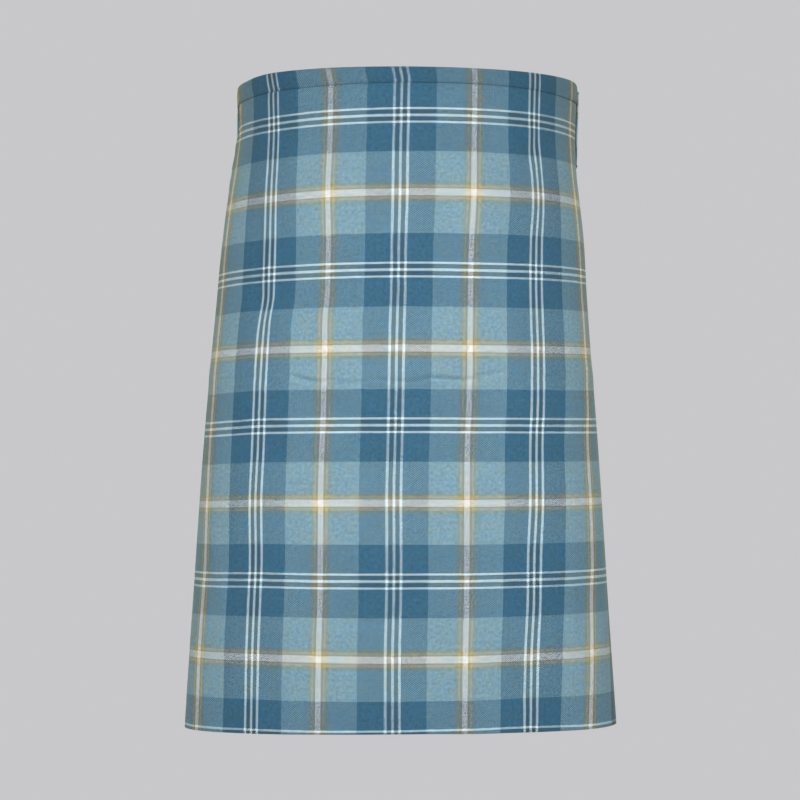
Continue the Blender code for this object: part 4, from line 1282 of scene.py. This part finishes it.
def leather_finish(fittings):
    """Dyed leather with its grain on the object's own coordinates."""
    def look(nodes):
        grain = nodes.add("Group", node_tree=leather_group())
        nodes.fill(grain.inputs, {"Place": nodes.add("TexCoord").outputs["Object"],
                                  "Dye": paint(fittings.leather), "Worn": paint(fittings.worn_leather)})
        return {"Base Color": grain.outputs["Colour"], "Roughness": grain.outputs["Roughness"],
                "Normal": nodes.bump(grain.outputs["Height"], distance=0.00012, strength=0.7)}

    return material_once("grained_leather", look)


def metal_finish(fittings):
    """Plated wire: fine scratches and slightly uneven polish."""
    def look(nodes):
        place = nodes.add("TexCoord").outputs["Object"]
        scratches = nodes.noise(place, 2600.0, detail=4.0)
        clouds = nodes.noise(place, 170.0)
        dulled = nodes.range(clouds, 0.4, 0.8, 0.0, 0.6)
        return {"Base Color": nodes.mix(dulled, paint(fittings.metal), paint(fittings.metal, times=0.62)),
                "Roughness": nodes.range(clouds, 0.3, 0.7, 0.16, 0.34), "Metallic": 1.0,
                "Normal": nodes.bump(scratches, distance=0.00002, strength=0.5)}

    return material_once("plated_wire", look)


def thread_finish(fittings):
    """Waxed thread with its two strands twisted, darker in the twist's grooves: painted shade."""
    def look(nodes):
        place = nodes.add("TexCoord").outputs["Object"]
        twist = nodes.add("TexWave", {"Vector": place, "Scale": 900.0, "Distortion": 1.0},
                          bands_direction="DIAGONAL").outputs["Fac"]
        # painted shade: the twist's grooves get the thread's colour at half brightness
        return {"Base Color": nodes.mix(twist, paint(fittings.thread, times=0.5), paint(fittings.thread)),
                "Roughness": 0.6, "Normal": nodes.bump(twist, distance=0.0001, strength=0.5)}

    return material_once("sewing_thread", look)


def resin_finish(fittings):
    """Polished button resin with soft streaks."""
    def look(nodes):
        place = nodes.add("TexCoord").outputs["Object"]
        streaks = nodes.noise(place, 240.0, detail=3.0, distortion=1.5)
        pale = paint(fittings.resin, times=2.2, plus=0.01)
        streaked = nodes.range(streaks, 0.45, 0.75, 0.0, 0.7)
        return {"Base Color": nodes.mix(streaked, paint(fittings.resin), pale),
                "Roughness": nodes.range(streaks, 0.3, 0.7, 0.22, 0.38), "Coat Weight": 0.3}

    return material_once("polished_resin", look)


# ---- stage ---------------------------------------------------------------------------------------
CAMERA_AT = (-0.007, 2.2, -0.2975)       # aim's x, distance from it, and height
CAMERA_TURN = math.radians(2.5)
CAMERA_LENS = 101.295
STAGE_RADIUS = 3.4
STAGE_COVE = 1.2                         # radius of the bend from floor to wall
STAGE_FLAT = 1.2                         # radius of the floor's inner disc
STAGE_WALL = 6.0                         # height of the wall's top over the floor
STAGE_ROWS, STAGE_COLUMNS = 17, 97       # round the bend, and round the floor
LIGHT_COLUMNS = ("name", "power", "place", "aim", "size", "spread", "colour")
LIGHTS = (
    ("key_light", "key", (0.1, -2.85, 0.7), (0.0, 0.0, -0.38), 0.7, 42.0, (1.0, 0.99, 0.98)),
    ("side_light", "fill", (-1.2, -2.2, 1.1), (0.0, 0.0, -0.3), 1.2, 180.0, (1.0, 1.0, 1.0)),
    ("back_light", "back", (0.5, 2.6, 1.0), (0.0, 0.0, -0.3), 1.8, 180.0, (1.0, 1.0, 1.0)),
)


def make_camera():
    """Camera level with the kilt's middle, a little to the wearer's left of its front."""
    data = bpy.data.cameras.new("camera")
    data.lens = CAMERA_LENS
    data.sensor_width = 36.0
    data.clip_start = 0.05
    data.clip_end = 50.0
    camera = new_object("camera", data)
    aim, far, height = CAMERA_AT
    camera.location = (aim + far * math.sin(CAMERA_TURN), -far * math.cos(CAMERA_TURN), height)
    camera.rotation_euler = (math.radians(90.0), 0.0, CAMERA_TURN)
    bpy.context.scene.camera = camera


def make_area_light(row, power):
    """Round soft light from a row of the table, turned to its aim; its beam widens by its spread."""
    data = bpy.data.lights.new(row["name"], "AREA")
    data.spread = math.radians(row["spread"])
    data.shape = "DISK"
    data.size = row["size"]
    data.energy = power
    data.color = row["colour"]
    lamp = new_object(row["name"], data)
    lamp.location = row["place"]
    x, y, z = np.array(row["aim"]) - np.array(row["place"])
    lamp.rotation_euler = (math.atan2(math.hypot(x, y), -z), 0.0, math.atan2(x, -y) + math.pi)


def make_light(stage):
    """Even white light from all round, and the lights of the table."""
    world = bpy.data.worlds.new("studio")
    world.use_nodes = True
    sky = world.node_tree.nodes["Background"]
    sky.inputs["Color"].default_value = (1.0, 1.0, 1.0, 1.0)
    sky.inputs["Strength"].default_value = stage.sky
    bpy.context.scene.world = world
    for values in LIGHTS:
        row = dict(zip(LIGHT_COLUMNS, values))
        make_area_light(row, getattr(stage, row["power"]))
    bpy.context.scene.view_settings.view_transform = "Standard"


def make_stage(stage):
    """Round pale floor that curves up into a wall all round, seen by the camera alone."""
    bend = np.radians(np.linspace(0.0, 90.0, STAGE_ROWS))
    cove = STAGE_RADIUS - STAGE_COVE + STAGE_COVE * np.sin(bend)
    radius = np.concatenate(([0.0, STAGE_FLAT], cove, [STAGE_RADIUS]))[:, None]
    height = np.concatenate(([0.0, 0.0], STAGE_COVE * (1.0 - np.cos(bend)), [STAGE_WALL]))[:, None]
    turn = np.linspace(0.0, TAU, STAGE_COLUMNS)[None, :]
    points = np.stack((radius * np.cos(turn), radius * np.sin(turn),
                       height - stage.floor_depth + 0.0 * turn), axis=-1)
    mesh = grid_mesh("floor", [(points, None)], weld=True)
    floor = new_object("floor", mesh)
    look = {"Base Color": (0.0, 0.0, 0.0, 1.0), "Specular IOR Level": 0.0,
            "Emission Color": paint(stage.floor_colour), "Emission Strength": 1.0}
    mesh.materials.append(material_once("floor_paint", lambda nodes: look))
    floor.visible_diffuse = False
    floor.visible_glossy = False
    floor.visible_shadow = False


# ---- the add-on ----------------------------------------------------------------------------------
def colour_property(name, description, red, green, blue):
    return FloatVectorProperty(name=name, description=description, subtype="COLOR_GAMMA", size=3,
                               min=0.0, max=1.0, default=(red / 255, green / 255, blue / 255))


def size_property(name, description, default, least, most):
    return FloatProperty(name=name, description=description, default=default, min=least, max=most,
                         subtype="DISTANCE", unit="LENGTH")


def power_property(name, description, default):
    return FloatProperty(name=name, description=description, default=default, min=0.0, max=500.0,
                         unit="POWER")


class KiltCloth(PropertyGroup):
    """The woven cloth."""

    wall: size_property("Thickness", "Thickness of the wool", CLOTH_WALL, 0.0003, 0.003)
    relief: size_property("Relief", "Height of the threads", 0.00016, 0.0, 0.001)
    sheen: FloatProperty(name="Sheen", description="Light caught by the wool's nap", default=0.2,
                         min=0.0, max=1.0, subtype="FACTOR")
    dark: colour_property("Dark yarn", "Yarn of the dark blue squares", 59, 104, 131)
    light: colour_property("Light yarn", "Yarn of the light blue squares", 130, 166, 182)
    pale: colour_property("Pale yarn", "Yarn beside the gold lines", 146, 160, 146)
    line: colour_property("White lines", "Fine yarn of the three white lines", 218, 243, 252)
    white: colour_property("White band", "Yarn of the broad white bands", 240, 239, 231)
    gold: colour_property("Gold yarn", "Yarn that borders the white bands", 194, 181, 128)
    olive: colour_property("Olive yarn", "Thin yarn between gold and white", 166, 156, 120)
    navy: colour_property("Navy yarn", "Yarn between the three white lines", 60, 84, 96)


class KiltFittings(PropertyGroup):
    """Leather, metal, thread and button."""

    leather: colour_property("Leather", "Dye of the strap and tab", 34, 33, 35)
    worn_leather: colour_property("Rubbed leather", "Leather where it is rubbed", 78, 74, 72)
    metal: colour_property("Metal", "Plating of the buckle", 206, 206, 204)
    thread: colour_property("Thread", "Sewing thread", 58, 74, 88)
    resin: colour_property("Button", "Resin of the inside button", 48, 66, 84)
    stitch_pitch: size_property("Stitch pitch", "One stitch and the space after it", 0.0032, 0.001, 0.01)


class KiltStage(PropertyGroup):
    """Floor and light."""

    floor_colour: colour_property("Floor", "Paint of the floor and wall", 200, 200, 202)
    floor_depth: size_property("Floor depth", "Floor below the waist", 1.6, 0.7, 5.0)
    key: power_property("Key light", "Power of the main light", 4.25)
    fill: power_property("Side light", "Power of the light from the side", 1.5)
    back: power_property("Back light", "Power of the light behind", 15.0)
    sky: FloatProperty(name="Sky", description="Strength of the light from all round", default=0.31,
                       min=0.0, max=5.0)


def settings(scene):
    """The add-on's three groups of settings."""
    return scene.kilt_cloth, scene.kilt_fittings, scene.kilt_stage


class KiltOperator:
    """What the operators share: each hands the settings to the functions that make its pieces."""

    def execute(self, context):
        self.build(*settings(context.scene))
        return {"FINISHED"}


class KILT_OT_over_apron(KiltOperator, Operator):
    """Make the plain front stretch of the cloth"""

    bl_idname = "kilt.over_apron"
    bl_label = "Over-apron"

    def build(self, cloth, fittings, stage):
        make_over_apron(cloth, tartan("tartan_wool", cloth))


class KILT_OT_pleated_back(KiltOperator, Operator):
    """Make the knife pleats across the back"""

    bl_idname = "kilt.pleated_back"
    bl_label = "Pleated back"

    def build(self, cloth, fittings, stage):
        make_pleated_back(cloth, tartan("tartan_wool", cloth))


class KILT_OT_under_apron(KiltOperator, Operator):
    """Make the plain stretch inside the front"""

    bl_idname = "kilt.under_apron"
    bl_label = "Under-apron"

    def build(self, cloth, fittings, stage):
        make_under_apron(cloth, tartan("tartan_wool", cloth))


class KILT_OT_waistband(KiltOperator, Operator):
    """Make the folded band along the top edge"""

    bl_idname = "kilt.waistband"
    bl_label = "Waistband"

    def build(self, cloth, fittings, stage):
        # the waistband's wool is the cloth's own, darker all over by painted shade
        make_waistband(tartan("band_wool", cloth, BAND_SHADE))


class KILT_OT_belt_loops(KiltOperator, Operator):
    """Make the cloth loops at both sides"""

    bl_idname = "kilt.belt_loops"
    bl_label = "Belt loops"

    def build(self, cloth, fittings, stage):
        for name, side in (("belt_loop_left", 1.0), ("belt_loop_right", -1.0)):
            make_belt_loop(name, side, tartan("tartan_wool", cloth), thread_finish(fittings))


class KILT_OT_strap(KiltOperator, Operator):
    """Make the leather strap and the tab that holds the buckle"""

    bl_idname = "kilt.strap"
    bl_label = "Strap and tab"

    def build(self, cloth, fittings, stage):
        make_strap(fittings, leather_finish(fittings), thread_finish(fittings))
        make_tab(fittings, leather_finish(fittings), thread_finish(fittings))


class KILT_OT_buckle(KiltOperator, Operator):
    """Make the buckle's frame and prong"""

    bl_idname = "kilt.buckle"
    bl_label = "Buckle"

    def build(self, cloth, fittings, stage):
        make_buckle(metal_finish(fittings))


class KILT_OT_button(KiltOperator, Operator):
    """Finish the inside button and sew it on"""

    bl_idname = "kilt.button"
    bl_label = "Inside button"

    def build(self, cloth, fittings, stage):
        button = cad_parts["inner_button"]
        button.data.materials.clear()
        button.data.materials.append(resin_finish(fittings))
        make_button_thread(thread_finish(fittings))


class KILT_OT_stage(KiltOperator, Operator):
    """Make the camera, the lights and the floor"""

    bl_idname = "kilt.stage"
    bl_label = "Stage"

    def build(self, cloth, fittings, stage):
        make_camera()
        make_light(stage)
        make_stage(stage)


class KILT_PT_panel(Panel):
    """The kilt's pieces and settings"""

    bl_idname = "KILT_PT_panel"
    bl_label = "Scottish Kilt"
    bl_space_type = "VIEW_3D"
    bl_region_type = "UI"
    bl_category = "Kilt"

    def draw(self, context):
        layout = self.layout
        for group in settings(context.scene):
            box = layout.box()
            for name in group.bl_rna.properties.keys():
                if name not in ("rna_type", "name"):
                    box.prop(group, name)
        for operator in OPERATORS:
            layout.operator(operator.bl_idname)


OPERATORS = (KILT_OT_stage, KILT_OT_over_apron, KILT_OT_pleated_back, KILT_OT_under_apron,
             KILT_OT_waistband, KILT_OT_belt_loops, KILT_OT_strap, KILT_OT_buckle, KILT_OT_button)
CLASSES = (KiltCloth, KiltFittings, KiltStage) + OPERATORS + (KILT_PT_panel,)


def register():
    for item in CLASSES:
        bpy.utils.register_class(item)
    bpy.types.Scene.kilt_cloth = PointerProperty(type=KiltCloth)
    bpy.types.Scene.kilt_fittings = PointerProperty(type=KiltFittings)
    bpy.types.Scene.kilt_stage = PointerProperty(type=KiltStage)


def unregister():
    del bpy.types.Scene.kilt_stage
    del bpy.types.Scene.kilt_fittings
    del bpy.types.Scene.kilt_cloth
    for item in reversed(CLASSES):
        bpy.utils.unregister_class(item)


def main():
    """Register the add-on and make every piece in order."""
    register()
    for operator in OPERATORS:
        group, name = operator.bl_idname.split(".")
        getattr(getattr(bpy.ops, group), name)()


if __name__ == "__main__":
    main()
